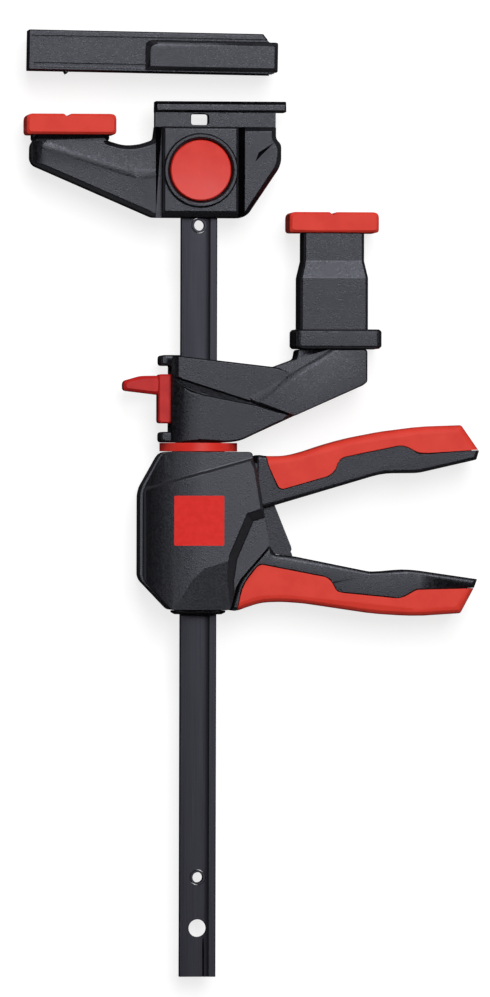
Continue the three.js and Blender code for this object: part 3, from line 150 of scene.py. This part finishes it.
# %% Hang the strip light
strip_length = 6.0
strip_width = 1.6
strip_up = math.radians(50)
strip_power = 270

direction = Vector((0, math.sin(strip_up), math.cos(strip_up)))
bpy.ops.object.light_add(type="AREA", location=aim + direction * lamp_distance)
strip = bpy.context.object
strip.name = "strip_light"
strip.data.shape = "RECTANGLE"
strip.data.size = strip_length
strip.data.size_y = strip_width
strip.data.energy = strip_power
strip.rotation_euler = direction.to_track_quat("Z", "Y").to_euler()
strip.visible_camera = False
print("strip light at", [round(v, 2) for v in strip.location])

# %% [markdown]
# ## Helpers for materials
#
# A colour is written as the hex value that a colour picker shows. Blender calculates with linear
# light, so one function turns one into the other. A second one adds a node: plain values set its
# inputs, and another node, or one of its sockets, is linked to them. An input without a name of
# its own is called by its number, as in _0.

# %% A colour and a node
def linear(hex_colour):
    channels = [int(hex_colour[i : i + 2], 16) / 255 for i in (1, 3, 5)]
    return [c / 12.92 if c <= 0.04045 else ((c + 0.055) / 1.055) ** 2.4 for c in channels] + [1.0]


def add(tree, kind, settings=None, **inputs):
    made = tree.nodes.new(kind)
    for name, value in (settings or {}).items():
        setattr(made, name, value)
    for name, value in inputs.items():
        socket = made.inputs[int(name[1:]) if name[1:].isdigit() else name.replace("_", " ")]
        if isinstance(value, bpy.types.Node):
            value = value.outputs[0]
        if isinstance(value, bpy.types.NodeSocket):
            tree.links.new(value, socket)
        else:
            socket.default_value = value
    return made


def new_material(name):
    made = bpy.data.materials.new(name)
    made.use_nodes = True
    made.node_tree.nodes.clear()
    return made, made.node_tree


print("signal red", [round(c, 3) for c in linear("#CC1A1E")])

# %% [markdown]
# ## The room
#
# The room is like a photographer's: a white backdrop, and a dim ceiling. The camera sees white
# all round. Reflections see low white walls under the dim ceiling, so what faces the camera
# stays dark. A node tells which rays come from the camera, a mirror or glass.

# %% Paint the walls and the ceiling
world = bpy.data.worlds.new("pale walls, dim ceiling")
bpy.context.scene.world = world
world.use_nodes = True
sky = world.node_tree
sky.nodes.clear()
ceiling_light = 0.09
wall_top = math.sin(math.radians(4))
ceiling_start = math.sin(math.radians(16))
largest = {"operation": "MAXIMUM"}


def looked_at(tree):
    rays = add(tree, "ShaderNodeLightPath")
    kinds = [rays.outputs[f"Is {kind} Ray"] for kind in ("Camera", "Glossy", "Transmission")]
    first_two = add(tree, "ShaderNodeMath", largest, _0=kinds[0], _1=kinds[1])
    return add(tree, "ShaderNodeMath", largest, _0=first_two, _1=kinds[2])


compass = add(sky, "ShaderNodeTexCoord")
height = add(sky, "ShaderNodeSeparateXYZ", Vector=compass.outputs["Generated"])
wall = add(
    sky, "ShaderNodeMapRange", Value=height.outputs["Z"],
    From_Min=wall_top, From_Max=ceiling_start, To_Min=1.0, To_Max=0.0,
)
mirrored = add(sky, "ShaderNodeMath", {"operation": "MULTIPLY"}, _0=looked_at(sky), _1=wall)
rays = add(sky, "ShaderNodeLightPath")
pale = add(sky, "ShaderNodeMath", largest, _0=mirrored, _1=rays.outputs["Is Camera Ray"])
dim = add(sky, "ShaderNodeBackground", Color=linear("#FFFFFF"), Strength=ceiling_light)
bright = add(sky, "ShaderNodeBackground", Color=linear("#FFFFFF"), Strength=1.0)
choice = add(sky, "ShaderNodeMixShader", _0=pale, _1=dim, _2=bright)
add(sky, "ShaderNodeOutputWorld", Surface=choice)
print("world:", len(sky.nodes), "nodes")

# %% [markdown]
# ## The table
#
# The table is a large sheet of pale card. Card has no shine, and a light of its own, seen only
# by the camera and in reflections, lifts it to the white of the picture while the clamp's soft
# shadow stays on it. A white card without that light would come out grey, because the lamp is
# set for the clamp.

# %% Lay the table
card, tree = new_material("pale card, dull")
own_light = 0.78
paper = add(tree, "ShaderNodeBsdfDiffuse", Color=linear("#9C9C9C"))
lift = add(tree, "ShaderNodeEmission", Color=linear("#FFFFFF"), Strength=own_light)
lifted = add(tree, "ShaderNodeAddShader", _0=paper, _1=lift)
choice = add(tree, "ShaderNodeMixShader", _0=looked_at(tree), _1=paper, _2=lifted)
add(tree, "ShaderNodeOutputMaterial", Surface=choice)

table_size = 8
table_depth = 0.2 * mm
bpy.ops.object.select_all(action="DESELECT")
bpy.ops.mesh.primitive_plane_add(size=table_size, location=(0, 0, -table_depth))
table = bpy.context.object
table.name = "table"
bpy.ops.object.transform_apply(location=True)
table.data.materials.append(card)
print("table", table_size, "m across")

# %% [markdown]
# As photographers do, a black card lies round the tool. The camera doesn't see it, but it is
# what the sides of the tool mirror, so they stay black as in the picture.

# %% Lay a black card for the reflections
felt, tree = new_material("black flocked card")
flock = add(tree, "ShaderNodeBsdfDiffuse", Color=linear("#0A0A0A"))
add(tree, "ShaderNodeOutputMaterial", Surface=flock)

flag_size = 1.2
bpy.ops.object.select_all(action="DESELECT")
bpy.ops.mesh.primitive_plane_add(size=flag_size, location=(0, 0, -table_depth / 2))
flag = bpy.context.object
flag.name = "black_card"
bpy.ops.object.transform_apply(location=True)
flag.data.materials.append(felt)
flag.visible_camera = False
flag.visible_diffuse = False
flag.visible_shadow = False
print("black card", flag_size, "m across")

# %% [markdown]
# ## Charcoal plastic
#
# The jaws, the housing and the hard part of the handles are glass-filled nylon, moulded in a
# tool with a spark-eroded face. Nylon filled with glass is not black but a cool dark grey, and
# the eroded face gives it a fine sandy grain that breaks up the shine. The grain is about 0.3 mm
# on the real part. Here it is drawn at 0.7 mm, a little over a pixel, so that it shows. Voronoi
# cells look like sand, where a noise texture looks like worms. Seen at a slant the grain hides
# the shine, so the surface gets duller there. The shell's face is finer and a bit shinier.

# %% Make the charcoal plastic
grain = 0.7 * mm
grain_depth = 0.1 * mm
cloud_size = 30 * mm
colours = {"data_type": "RGBA"}
noise_span = {"From_Min": 0.3, "From_Max": 0.7}
cell_span = {"From_Min": 0.2, "From_Max": 0.8}


def charcoal_nylon(name, polished, dull, shine):
    made, tree = new_material(name)
    place = add(tree, "ShaderNodeTexCoord").outputs["Object"]
    sand = add(tree, "ShaderNodeTexVoronoi", Vector=place, Scale=1 / grain)
    clouds = add(tree, "ShaderNodeTexNoise", Vector=place, Scale=1 / cloud_size, Detail=2.0)
    cell = sand.outputs["Color"]
    speck = add(tree, "ShaderNodeMapRange", Value=cell, **cell_span)
    dark, light = linear("#040406"), linear("#121216")
    tint = add(tree, "ShaderNodeMix", colours, _0=speck, _6=dark, _7=light)

    rough = add(tree, "ShaderNodeMapRange", Value=cell, **cell_span, To_Min=polished, To_Max=dull)
    rubbed = add(tree, "ShaderNodeMapRange", Value=clouds, **noise_span, To_Min=0.0, To_Max=0.03)
    rough = add(tree, "ShaderNodeMath", {"operation": "ADD"}, _0=rough, _1=rubbed)
    slant = add(tree, "ShaderNodeLayerWeight", Blend=0.5).outputs["Facing"]
    dulled = add(
        tree, "ShaderNodeMapRange", Value=slant,
        From_Min=0.6, From_Max=0.9, To_Min=0.0, To_Max=0.6,
    )
    clamped_sum = {"operation": "ADD", "use_clamp": True}
    rough = add(tree, "ShaderNodeMath", clamped_sum, _0=rough, _1=dulled)

    pits = sand.outputs["Distance"]
    relief = add(tree, "ShaderNodeBump", Strength=0.3, Distance=grain_depth, Height=pits)
    skin = add(
        tree, "ShaderNodeBsdfPrincipled", Base_Color=tint.outputs[2], Roughness=rough,
        IOR=1.5, Specular_IOR_Level=shine, Specular_Tint=linear("#EDF0FF"), Normal=relief,
    )
    add(tree, "ShaderNodeOutputMaterial", Surface=skin)
    return made


charcoal = charcoal_nylon("glass-filled nylon, charcoal, spark-eroded grain", 0.25, 0.38, 0.36)
shell_charcoal = charcoal_nylon("glass-filled nylon, charcoal, fine grain", 0.27, 0.34, 0.47)
print(charcoal.name, "and", shell_charcoal.name)

# %% [markdown]
# ## Hard red plastic
#
# The button and the ring are ABS from a polished mould: an even signal red with a satin shine.
# The faint clouds in it are flow marks, about a centimetre wide.

# %% Make the hard red plastic
hard_red, tree = new_material("ABS, signal red, satin from the mould")
place = add(tree, "ShaderNodeTexCoord").outputs["Object"]
flow = add(tree, "ShaderNodeTexNoise", Vector=place, Scale=1 / (9 * mm), Detail=3.0)
haze = add(tree, "ShaderNodeMapRange", Value=flow, **noise_span)
tint = add(tree, "ShaderNodeMix", colours, _0=haze, _6=linear("#D82E26"), _7=linear("#E0382C"))
rough = add(tree, "ShaderNodeMapRange", Value=flow, **noise_span, To_Min=0.36, To_Max=0.44)
skin = add(
    tree, "ShaderNodeBsdfPrincipled", Base_Color=tint.outputs[2], Roughness=rough,
    IOR=1.5, Specular_IOR_Level=0.25,
)
add(tree, "ShaderNodeOutputMaterial", Surface=skin)
print(hard_red.name)

# %% [markdown]
# The release lever is moulded from a tougher nylon, of a deeper red, and the square on the
# housing is red ink. Both are plain reds that differ in colour, dullness and in the size of
# their faint blotches, so one function makes them.

# %% Make the red of the lever and of the square
def plain_red(name, dark, light, roughness, blotch):
    made, tree = new_material(name)
    place = add(tree, "ShaderNodeTexCoord").outputs["Object"]
    cloud = add(tree, "ShaderNodeTexNoise", Vector=place, Scale=1 / blotch, Detail=2.0)
    haze = add(tree, "ShaderNodeMapRange", Value=cloud, **noise_span)
    tint = add(tree, "ShaderNodeMix", colours, _0=haze, _6=linear(dark), _7=linear(light))
    skin = add(
        tree, "ShaderNodeBsdfPrincipled", Base_Color=tint.outputs[2], Roughness=roughness,
        IOR=1.5, Specular_IOR_Level=0.15,
    )
    add(tree, "ShaderNodeOutputMaterial", Surface=skin)
    return made


lever_red = plain_red("nylon, deep red, moulded", "#B81E1E", "#C42824", 0.4, 6 * mm)
printed_red = plain_red("screen-printed ink, red", "#DA2620", "#E22E28", 0.6, 4 * mm)
print(lever_red.name, "and", printed_red.name)

# %% [markdown]
# ## Soft red plastic
#
# The grips and the jaw pads are a rubbery thermoplastic of nearly the same red. It is duller
# than ABS, because its skin is a little rough, and handling leaves it faintly blotchy. Its pores
# are finer than a pixel, so they are drawn 1.1 mm wide.

# %% Make the soft red plastic
soft_red, tree = new_material("thermoplastic rubber, signal red, dull skin")
place = add(tree, "ShaderNodeTexCoord").outputs["Object"]
pores = add(tree, "ShaderNodeTexNoise", Vector=place, Scale=1 / (1.1 * mm), Detail=3.0)
blotch = add(tree, "ShaderNodeTexNoise", Vector=place, Scale=1 / (12 * mm), Detail=3.0)
haze = add(tree, "ShaderNodeMapRange", Value=blotch, **noise_span)
tint = add(tree, "ShaderNodeMix", colours, _0=haze, _6=linear("#D8382C"), _7=linear("#E24032"))
relief = add(tree, "ShaderNodeBump", Strength=0.2, Distance=0.05 * mm, Height=pores)
skin = add(
    tree, "ShaderNodeBsdfPrincipled", Base_Color=tint.outputs[2], Roughness=0.55,
    IOR=1.48, Specular_IOR_Level=0.2, Normal=relief,
)
add(tree, "ShaderNodeOutputMaterial", Surface=skin)
print(soft_red.name)

# %% [markdown]
# ## Steels
#
# The bar is drawn steel with a black oxide skin: dark, smooth, and faintly streaked along its
# length by the drawing die. A noise that is stretched a hundred times along the bar gives such
# streaks. The two pins in the bar have the same skin.

# %% Make the blackened steel
black_steel, tree = new_material("drawn steel, black oxide")
place = add(tree, "ShaderNodeTexCoord").outputs["Object"]
streak_width = 0.5 * mm
drawn = add(tree, "ShaderNodeMapping", Vector=place, Scale=(1.0, 0.01, 1.0))
streaks = add(tree, "ShaderNodeTexNoise", Vector=drawn, Scale=1 / streak_width, Detail=3.0)
tone = add(tree, "ShaderNodeMapRange", Value=streaks, **noise_span)
tint = add(tree, "ShaderNodeMix", colours, _0=tone, _6=linear("#26262B"), _7=linear("#2E2E34"))
relief = add(tree, "ShaderNodeBump", Strength=0.1, Distance=0.02 * mm, Height=streaks)
skin = add(
    tree, "ShaderNodeBsdfPrincipled", Base_Color=tint.outputs[2], Metallic=1.0,
    Roughness=0.36, Normal=relief,
)
add(tree, "ShaderNodeOutputMaterial", Surface=skin)
print(black_steel.name)

# %% [markdown]
# Springs, screws and plates inside are plain bright steel. Handling and oil leave it shinier in
# one place than in another, a few millimetres apart.

# %% Make the bright steel
bright_steel, tree = new_material("spring steel, bright")
place = add(tree, "ShaderNodeTexCoord").outputs["Object"]
wear = add(tree, "ShaderNodeTexNoise", Vector=place, Scale=1 / (2 * mm), Detail=3.0)
rough = add(tree, "ShaderNodeMapRange", Value=wear, **noise_span, To_Min=0.28, To_Max=0.42)
grey = linear("#B4B4B8")
skin = add(tree, "ShaderNodeBsdfPrincipled", Base_Color=grey, Metallic=1.0, Roughness=rough)
add(tree, "ShaderNodeOutputMaterial", Surface=skin)
print(bright_steel.name)

# %% [markdown]
# ## Bearing plastic
#
# The housing turns on a core of acetal, a slippery grey plastic that is turned on a lathe. It
# has a waxy, dull shine and a slight mottle.

# %% Make the bearing plastic
bearing, tree = new_material("acetal, grey, turned")
place = add(tree, "ShaderNodeTexCoord").outputs["Object"]
mottle = add(tree, "ShaderNodeTexNoise", Vector=place, Scale=1 / (3 * mm), Detail=2.0)
tint = add(tree, "ShaderNodeMix", colours, _0=mottle, _6=linear("#4E524E"), _7=linear("#5A5E5A"))
tint = tint.outputs[2]
skin = add(tree, "ShaderNodeBsdfPrincipled", Base_Color=tint, Roughness=0.45, IOR=1.48)
add(tree, "ShaderNodeOutputMaterial", Surface=skin)
print(bearing.name)

# %% [markdown]
# ## Paint the CAD model
#
# The record names a material slot for every node. Each slot has one finish here, and three
# nodes have a finish of their own.

# %% Give every CAD node its material
finish_of = {
    "charcoal_plastic": charcoal,
    "red_plastic": hard_red,
    "red_soft": soft_red,
    "blackened_steel": black_steel,
    "dark_pin_steel": black_steel,
    "bright_steel": bright_steel,
    "bearing_acetal": bearing,
}
own_finish = {
    "release_lever": lever_red,
    "front_shell": shell_charcoal,
    "back_shell": shell_charcoal,
}
for name, piece in nodes.items():
    piece.data.materials.clear()
    piece.data.materials.append(own_finish.get(name) or finish_of[slot_of[name]])
print(len(nodes), "CAD nodes painted")

# %% [markdown]
# ## Softened edges
#
# CAD edges are perfectly sharp, and nothing from a mould is. A rounding of about half a
# millimetre is what makes the thin light line along each edge of the real plastic. It could be
# painted on, but a real rounding also works from the side. So a copy of the CAD node is merged,
# its flat faces are made whole again, and its creases get a small bevel.

# %% Copy a CAD node and make its flats whole
same_place = 0.002 * mm
flat_angle = math.radians(1.5)


def select_only(piece):
    bpy.ops.object.select_all(action="DESELECT")
    piece.select_set(True)
    bpy.context.view_layer.objects.active = piece


def copied(name):
    select_only(nodes[name])
    bpy.ops.object.duplicate()
    piece = bpy.context.object
    piece.parent = None
    piece.name = name + "_dressed"
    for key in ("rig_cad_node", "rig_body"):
        del piece[key]
    bpy.ops.object.mode_set(mode="EDIT")
    bpy.ops.mesh.select_all(action="SELECT")
    bpy.ops.mesh.remove_doubles(threshold=same_place)
    bpy.ops.mesh.dissolve_limited(angle_limit=flat_angle)
    bpy.ops.object.mode_set(mode="OBJECT")
    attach(piece, body_of[name])
    return piece


# %% [markdown]
# Some forms are drawn simpler in CAD than the mould makes them. Corners of a copy are moved for
# these, in millimetres of the drawing, where X counts from the bar's middle, Y from its lower
# end and Z from its mid-plane. A groove whose floor slopes to the left mirrors the black card
# and turns dark, and one that stays level stays grey.

# %% A helper that moves corners
drawing_origin = Vector((-29.094, -260.268, 22))


def near(value, wanted, slack=0.06):
    return abs(value - wanted) < slack


def move_corners(piece, rule):
    moved = 0
    for vertex in piece.data.vertices:
        x, y, z = vertex.co / mm - drawing_origin
        place = rule(x, y, z)
        if place:
            vertex.co = (Vector(place) + drawing_origin) * mm
            moved += 1
    piece.data.update()
    print(piece.name, moved, "corners moved")


# %% [markdown]
# On the fixed jaw, the light shows five such forms: two upright grooves, the ribs of the arm, a
# notch in the wing, the arm's head under its pad and the upper edge of the flange. Each rule
# below knows its corners by their place and gives them a new one.

# %% The fixed jaw: sloping grooves, low ribs, a recess under the pad
def fixed_jaw(x, y, z):
    front = math.copysign(1, z)
    # The floors of the two upright grooves drop to the left.
    if near(z, 6) and (near(x, -24.6) or near(x, 21)):
        return x, y, -1
    # The ribs of the arm stand lower.
    if near(abs(z), 10.6):
        return x, y, front * 10.2
    # The notch in the wing is shallow at its right end and deep at its left.
    if near(z, 8.8) and near(x, 40.6, 0.5) and near(y, 459.0, 0.5):
        return x, y, 9.9
    if near(z, 8.8) and 29.5 < x < 33 and 447 < y < 455:
        return x, y, 6
    # The arm's head is recessed under the pad.
    below_pad = near(abs(z), 11.3) and near(y, 461, 0.7)
    if below_pad or near(abs(z), 9.9) and near(y, 459.6, 0.03) and x < -50:
        return x, y, front * 8
    # The upper edge of the flange has a wider chamfer.
    if near(abs(z), 8) and near(y, 480.9):
        return x, 479.9, z
    if near(abs(z), 7.2) and near(y, 481.7):
        return x, y, front * 5.4


# %% [markdown]
# On the sliding jaw, a groove runs down to the right between two slabs. Its floor drops a little
# towards the lower slab, so its corners that lie below the upper slab's edge go deeper.

# %% The sliding jaw: a sloping floor between its two slabs
slab_edge_start, slab_edge_fall = 329.1, 0.318


def sliding_jaw(x, y, z):
    slab_edge = slab_edge_start - (x + 12) * slab_edge_fall
    if near(z, 14) and -16 < x < 28 and 314 < y < slab_edge - 0.8:
        return x, y, 13.6


reshaped = {"fixed_jaw_body": fixed_jaw, "sliding_jaw_body": sliding_jaw}


# %% [markdown]
# The sliding jaw's slabs have chamfers that look narrower in the picture than they are drawn.
# Each of them runs between two known heights, so the edge at the greater height can be moved
# towards the other one by a share of the chamfer's width.

# %% Make chosen chamfers narrower
def narrow_chamfers(piece, levels, share):
    middle = drawing_origin.z * mm
    corners = piece.data.vertices
    for edge in piece.data.edges:
        ends = [corners[i] for i in edge.vertices]
        low, high = sorted(ends, key=lambda corner: abs(corner.co.z - middle))
        low_z, high_z = (abs(corner.co.z / mm - drawing_origin.z) for corner in (low, high))
        if any(near(high_z, top) and near(low_z, foot) for top, foot in levels):
            high.co.x += (low.co.x - high.co.x) * share
            high.co.y += (low.co.y - high.co.y) * share
    piece.data.update()


narrowed = {"sliding_jaw_body": ([(17.2, 15.6), (17.0, 15.4), (18.5, 16.9)], 0.6)}
print("narrower chamfers on", *narrowed)

# %% [markdown]
# A bevel is only as good as the room it has. Where an edge is shorter than the two roundings
# that eat into it from its ends, the faces would fold over and show as black patches. So each
# crease first gets the widest rounding for which there is room. At a corner, what a rounding
# takes from the next edge follows from the angle between the two.

# %% Work out how wide each crease may be
def room_for(shape, width, creases):
    straight, doubled_back = 0.05, 10
    full, relaxed, worth_having = 0.92, 0.9, 0.2
    widths = {edge: width if edge in creases else 0.0 for edge in shape.edges}
    for _ in range(6):
        any_narrowed = False
        for face in shape.faces:
            for corner in face.loops:
                before, after = corner.link_loop_prev, corner.link_loop_next
                path = [
                    (before.vert.co, corner.vert.co),
                    (corner.vert.co, after.vert.co),
                    (after.vert.co, after.link_loop_next.vert.co),
                ]
                way = [(b - a).normalized() for a, b in path]
                eaten = 0
                for first, second, other in ((0, 1, before.edge), (1, 2, after.edge)):
                    turn = way[first].cross(way[second]).dot(face.normal)
                    ahead = way[first].dot(way[second])
                    if abs(turn) > straight:
                        eaten += (widths[other] + widths[corner.edge] * ahead) / turn
                    elif ahead < 0:
                        eaten += doubled_back * max(widths[other], widths[corner.edge])
                length = corner.edge.calc_length()
                if eaten > full * length:
                    share = relaxed * length / eaten
                    for edge in (corner.edge, before.edge, after.edge):
                        any_narrowed = any_narrowed or widths[edge] > 0
                        widths[edge] *= share if share > worth_having else 0
        if not any_narrowed:
            break
    return widths


# %% [markdown]
# Where a bevel still turns a face over, the creases there stay sharp. Such a face is found by
# comparing it with the CAD node: near each good face, the node has a face that looks the same
# way, within 60 degrees.

# %% Find faces that a bevel has turned over
speck = 0.02 * mm * mm
search_reach = 0.5 * mm
least_likeness = math.cos(math.radians(60))


def turned_over(piece, surface):
    mesh = piece.data
    mesh.calc_loop_triangles()
    spots = []
    for triangle in mesh.loop_triangles:
        if triangle.area < speck:
            continue
        corners = [mesh.vertices[i].co.copy() for i in triangle.vertices]
        centre = sum(corners, Vector()) / 3
        close_by = surface.find_nearest_range(centre, search_reach)
        if not any(normal.dot(triangle.normal) > least_likeness for _, normal, _, _ in close_by):
            spots += corners
    return spots


def touches(edge_ends, spots, reach):
    start, end = edge_ends
    for spot in spots:
        _, share = intersect_point_line(spot, start, end)
        foot = start.lerp(end, min(max(share, 0), 1))
        if (spot - foot).length < reach:
            return True
    return False


# %% [markdown]
# A crease is an edge where the surface turns by more than 8 degrees. The narrow strips of which
# the CAD model builds its bores turn by more than that too, but by less than 35, and they are
# left alone.

# %% Bevel a trial copy
least_turn, sharp_turn = 8, 35
strip_widths = 3
bevel_steps = 3
thinnest = 0.1


def creases_of(shape, width, right_end):
    for edge in shape.edges:
        far_right = max(v.co.x / mm - drawing_origin.x for v in edge.verts)
        if len(edge.link_faces) == 2 and far_right < right_end:
            angle = math.degrees(edge.calc_face_angle())
            strip = min(face.calc_area() for face in edge.link_faces) / edge.calc_length()
            if angle > least_turn and (angle > sharp_turn or strip > strip_widths * width):
                yield edge


def bevelled(piece, width, right_end, left_sharp):
    select_only(piece)
    bpy.ops.object.duplicate()
    trial = bpy.context.object
    shape = bmesh.new()
    shape.from_mesh(trial.data)
    shape.edges.ensure_lookup_table()
    weight = shape.edges.layers.float.new("bevel_weight_edge")
    found = list(creases_of(shape, width, right_end))
    creases = {edge for edge in found if edge.index not in left_sharp}
    widths = room_for(shape, width, creases)
    for edge in found:
        edge[weight] = widths[edge] / width
        edge.smooth = widths[edge] > thinnest * width
    ends = {e.index: (e.verts[0].co.copy(), e.verts[1].co.copy()) for e in creases}
    shape.to_mesh(trial.data)
    shape.free()
    rounding = trial.modifiers.new("rounded creases", "BEVEL")
    rounding.width = width
    rounding.segments = bevel_steps
    rounding.limit_method = "WEIGHT"
    rounding.use_clamp_overlap = False
    rounding.face_strength_mode = "FSTR_ALL"
    bpy.ops.object.modifier_apply(modifier=rounding.name)
    return trial, ends


# %% [markdown]
# A copy is bevelled up to five times, each time with the faulty creases of the last time left
# sharp. If faults remain, its faces are cut into triangles, which can't fold, and it is tried
# again. Then the normals are weighted, so that a flat face stays evenly lit up to its rounding.

# %% Round the creases of a copy
tries = 5
fault_widths = 1.3


def try_to_round(piece, surface, width, right_end, last_resort):
    left_sharp = set()
    for attempt in range(tries):
        trial, ends = bevelled(piece, width, right_end, left_sharp)
        spots = turned_over(trial, surface)
        if not spots or (attempt == tries - 1 and last_resort):
            counts = len(ends), len(left_sharp), len(spots)
            print(piece.name, "creases rounded, left sharp, corners at fault:", *counts)
            return trial
        left_sharp |= {i for i, e in ends.items() if touches(e, spots, fault_widths * width)}
        bpy.data.objects.remove(trial)


def round_creases(piece, width, smooth, right_end):
    name = piece.name
    corners = [v.co for v in piece.data.vertices]
    surface = BVHTree.FromPolygons(corners, [f.vertices for f in piece.data.polygons])
    trial = try_to_round(piece, surface, width, right_end, last_resort=False)
    in_triangles = trial is None
    if in_triangles:
        select_only(piece)
        bpy.ops.object.mode_set(mode="EDIT")
        bpy.ops.mesh.select_all(action="SELECT")
        bpy.ops.mesh.quads_convert_to_tris(ngon_method="BEAUTY")
        bpy.ops.object.mode_set(mode="OBJECT")
        trial = try_to_round(piece, surface, width, right_end, last_resort=True)
    bpy.data.objects.remove(piece)
    trial.name = name
    select_only(trial)
    bpy.ops.object.shade_smooth_by_angle(angle=math.radians(smooth))
    weighted = trial.modifiers.new("flats stay flat", "WEIGHTED_NORMAL")
    weighted.keep_sharp = True
    weighted.use_face_influence = in_triangles
    bpy.ops.object.modifier_apply(modifier=weighted.name)
    return trial


# %% [markdown]
# Every moulded piece is dressed in this way. Faces that meet at less than the smoothing angle
# are shaded as one surface. The front shell's facets meet at small angles and have to stay
# apart, so its angle is small. The sharp tips of the handles aren't rounded, or daylight would
# show between grip and frame.

# %% Dress the moulded pieces
crease_width = {"charcoal_plastic": 0.4 * mm, "red_plastic": 0.35 * mm, "red_soft": 0.4 * mm}
smooth_slot = {"charcoal_plastic": 35, "red_plastic": 35, "red_soft": 25}
smooth_piece = {"front_shell": 10}
handle_pieces = ("handle_frame", "handle_grip", "pump_lever_frame", "pump_lever_grip")
tips_from = 144
dressed = {}
for name, slot in slot_of.items():
    if slot in crease_width:
        piece = copied(name)
        if name in reshaped:
            move_corners(piece, reshaped[name])
        if name in narrowed:
            narrow_chamfers(piece, *narrowed[name])
        smooth = smooth_piece.get(name, smooth_slot[slot])
        right_end = tips_from if name in handle_pieces else math.inf
        dressed[name] = round_creases(piece, crease_width[slot], smooth, right_end)
        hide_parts(name)

# %% [markdown]
# ## The bar
#
# The drawn bar has a shallow hollow along each face. It isn't a milled groove: it starts close
# to the left edge, sinks slowly and comes up steeply, so the light fades across it and ends in a
# dark line. The copy is cut into narrow strips along its length, and each cut is pushed to the
# depth of that profile.

# %% Shape the hollow of the bar
bar_half = 3
hollow_left, hollow_deepest, hollow_right = -9.2, 2.0, 6.3
hollow_depth = 0.6
strip_angle = math.radians(12)
left_bend, right_bend = 2, 2.6
left_cuts = [-9.2, -8.2, -7, -5.8, -4.4, -3.2, -2, -0.8, 0.4, 1.2]
right_cuts = [2, 2.8, 3.5, 4.1, 4.6, 5.1, 5.5, 5.9, 6.25]


def hollow(x, y, z):
    if abs(z) > 2 and hollow_left <= x < hollow_right - 0.01:
        on_left = x < hollow_deepest
        side, bend = (hollow_left, left_bend) if on_left else (hollow_right, right_bend)
        share = (x - hollow_deepest) / (side - hollow_deepest)
        return x, y, math.copysign(bar_half - hollow_depth * (1 - share**bend), z)


bar = copied("bar")
bpy.ops.object.mode_set(mode="EDIT")
for cut in left_cuts + right_cuts:
    bpy.ops.mesh.select_all(action="SELECT")
    at = (Vector((cut, 0, 0)) + drawing_origin) * mm
    bpy.ops.mesh.bisect(plane_co=at, plane_no=(1, 0, 0))
bpy.ops.object.mode_set(mode="OBJECT")
move_corners(bar, hollow)
bpy.ops.object.mode_set(mode="EDIT")
bpy.ops.mesh.select_all(action="SELECT")
bpy.ops.mesh.remove_doubles(threshold=0.01 * mm)
bpy.ops.object.mode_set(mode="OBJECT")
bpy.ops.object.shade_smooth_by_angle(angle=strip_angle)
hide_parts("bar")

# %% [markdown]
# ## Two springs
#
# Two springs of round wire are pressed together by what moves against them: the one that
# returns the feed plates, and the one behind the button. A rigid coil would stick out through
# the button when it is pressed. The drawn coils have the right shape, so copies of them are
# enough. For each, the share of its length that it would keep at the full travel of its joint is
# worked out and printed, but nothing here makes it shorten.

# %% Copy two springs and work out how far they would shorten
plate_travel = 9.6 * mm
button_travel = 3.4 * mm
along_y, along_z = 1, 2
wire_angle = math.radians(60)
for name, joint, along, travel in [
    ("feed_spring", "feed_slide", along_y, plate_travel),
    ("button_spring", "release_button", along_z, button_travel),
]:
    fixed_end, free_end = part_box(name)
    coil = copied(name)
    bpy.ops.object.shade_smooth_by_angle(angle=wire_angle)
    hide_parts(name)
    pressed = 1 - travel / (free_end[along] - fixed_end[along])
    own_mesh(coil)
    print(coil.name, "keeps", round(pressed, 2), "of its length")

# %% [markdown]
# ## The red square
#
# A plain red square is printed on the housing's face. It could be a colour in the housing's own
# material, but a thin skin of its own keeps a crisp edge. The face curves away to the left, so
# the square is cut into strips and shrunk onto it from the front. It starts above the housing,
# and only its outline and its place matter.

# %% Make the red square
badge_width = 27.4 * mm
badge_thickness = 0.03 * mm
badge_corner = 0.8 * mm
badge_at = (Vector((-1.1, 251, 24)) + drawing_origin) * mm

bpy.ops.object.select_all(action="DESELECT")
bpy.ops.mesh.primitive_plane_add(size=badge_width, location=badge_at)
badge = bpy.context.object
badge.name = "badge_square"
bpy.ops.object.transform_apply(location=True)
bpy.ops.object.mode_set(mode="EDIT")
bpy.ops.mesh.select_all(action="SELECT")
bpy.ops.mesh.bevel(offset=badge_corner, segments=4, affect="VERTICES")
for cut in range(-12, 13, 2):
    bpy.ops.mesh.select_all(action="SELECT")
    at = badge_at + Vector((cut * mm, 0, 0))
    bpy.ops.mesh.bisect(plane_co=at, plane_no=(1, 0, 0))
bpy.ops.object.mode_set(mode="OBJECT")

# %% [markdown]
# The square is pushed straight down onto the shell. Ink has a thickness of a few hundredths of a
# millimetre. Half of it goes into the shell, so that no gap shows at its edge.

# %% Lay the red square on the housing
laid = badge.modifiers.new("laid on the face", "SHRINKWRAP")
laid.target = dressed["front_shell"]
laid.wrap_method = "PROJECT"
laid.use_project_z = True
laid.use_negative_direction = True
laid.use_positive_direction = False
laid.offset = 0
bpy.ops.object.modifier_apply(modifier=laid.name)
ink = badge.modifiers.new("thickness of the ink", "SOLIDIFY")
ink.thickness = 2 * badge_thickness
ink.offset = 0
bpy.ops.object.modifier_apply(modifier=ink.name)
bpy.ops.object.shade_smooth_by_angle(angle=math.radians(30))
badge.data.materials.append(printed_red)
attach(badge, "housing")
heights = [v.co.z / mm for v in badge.data.vertices]
print(f"square lies between {min(heights):.2f} and {max(heights):.2f} mm")
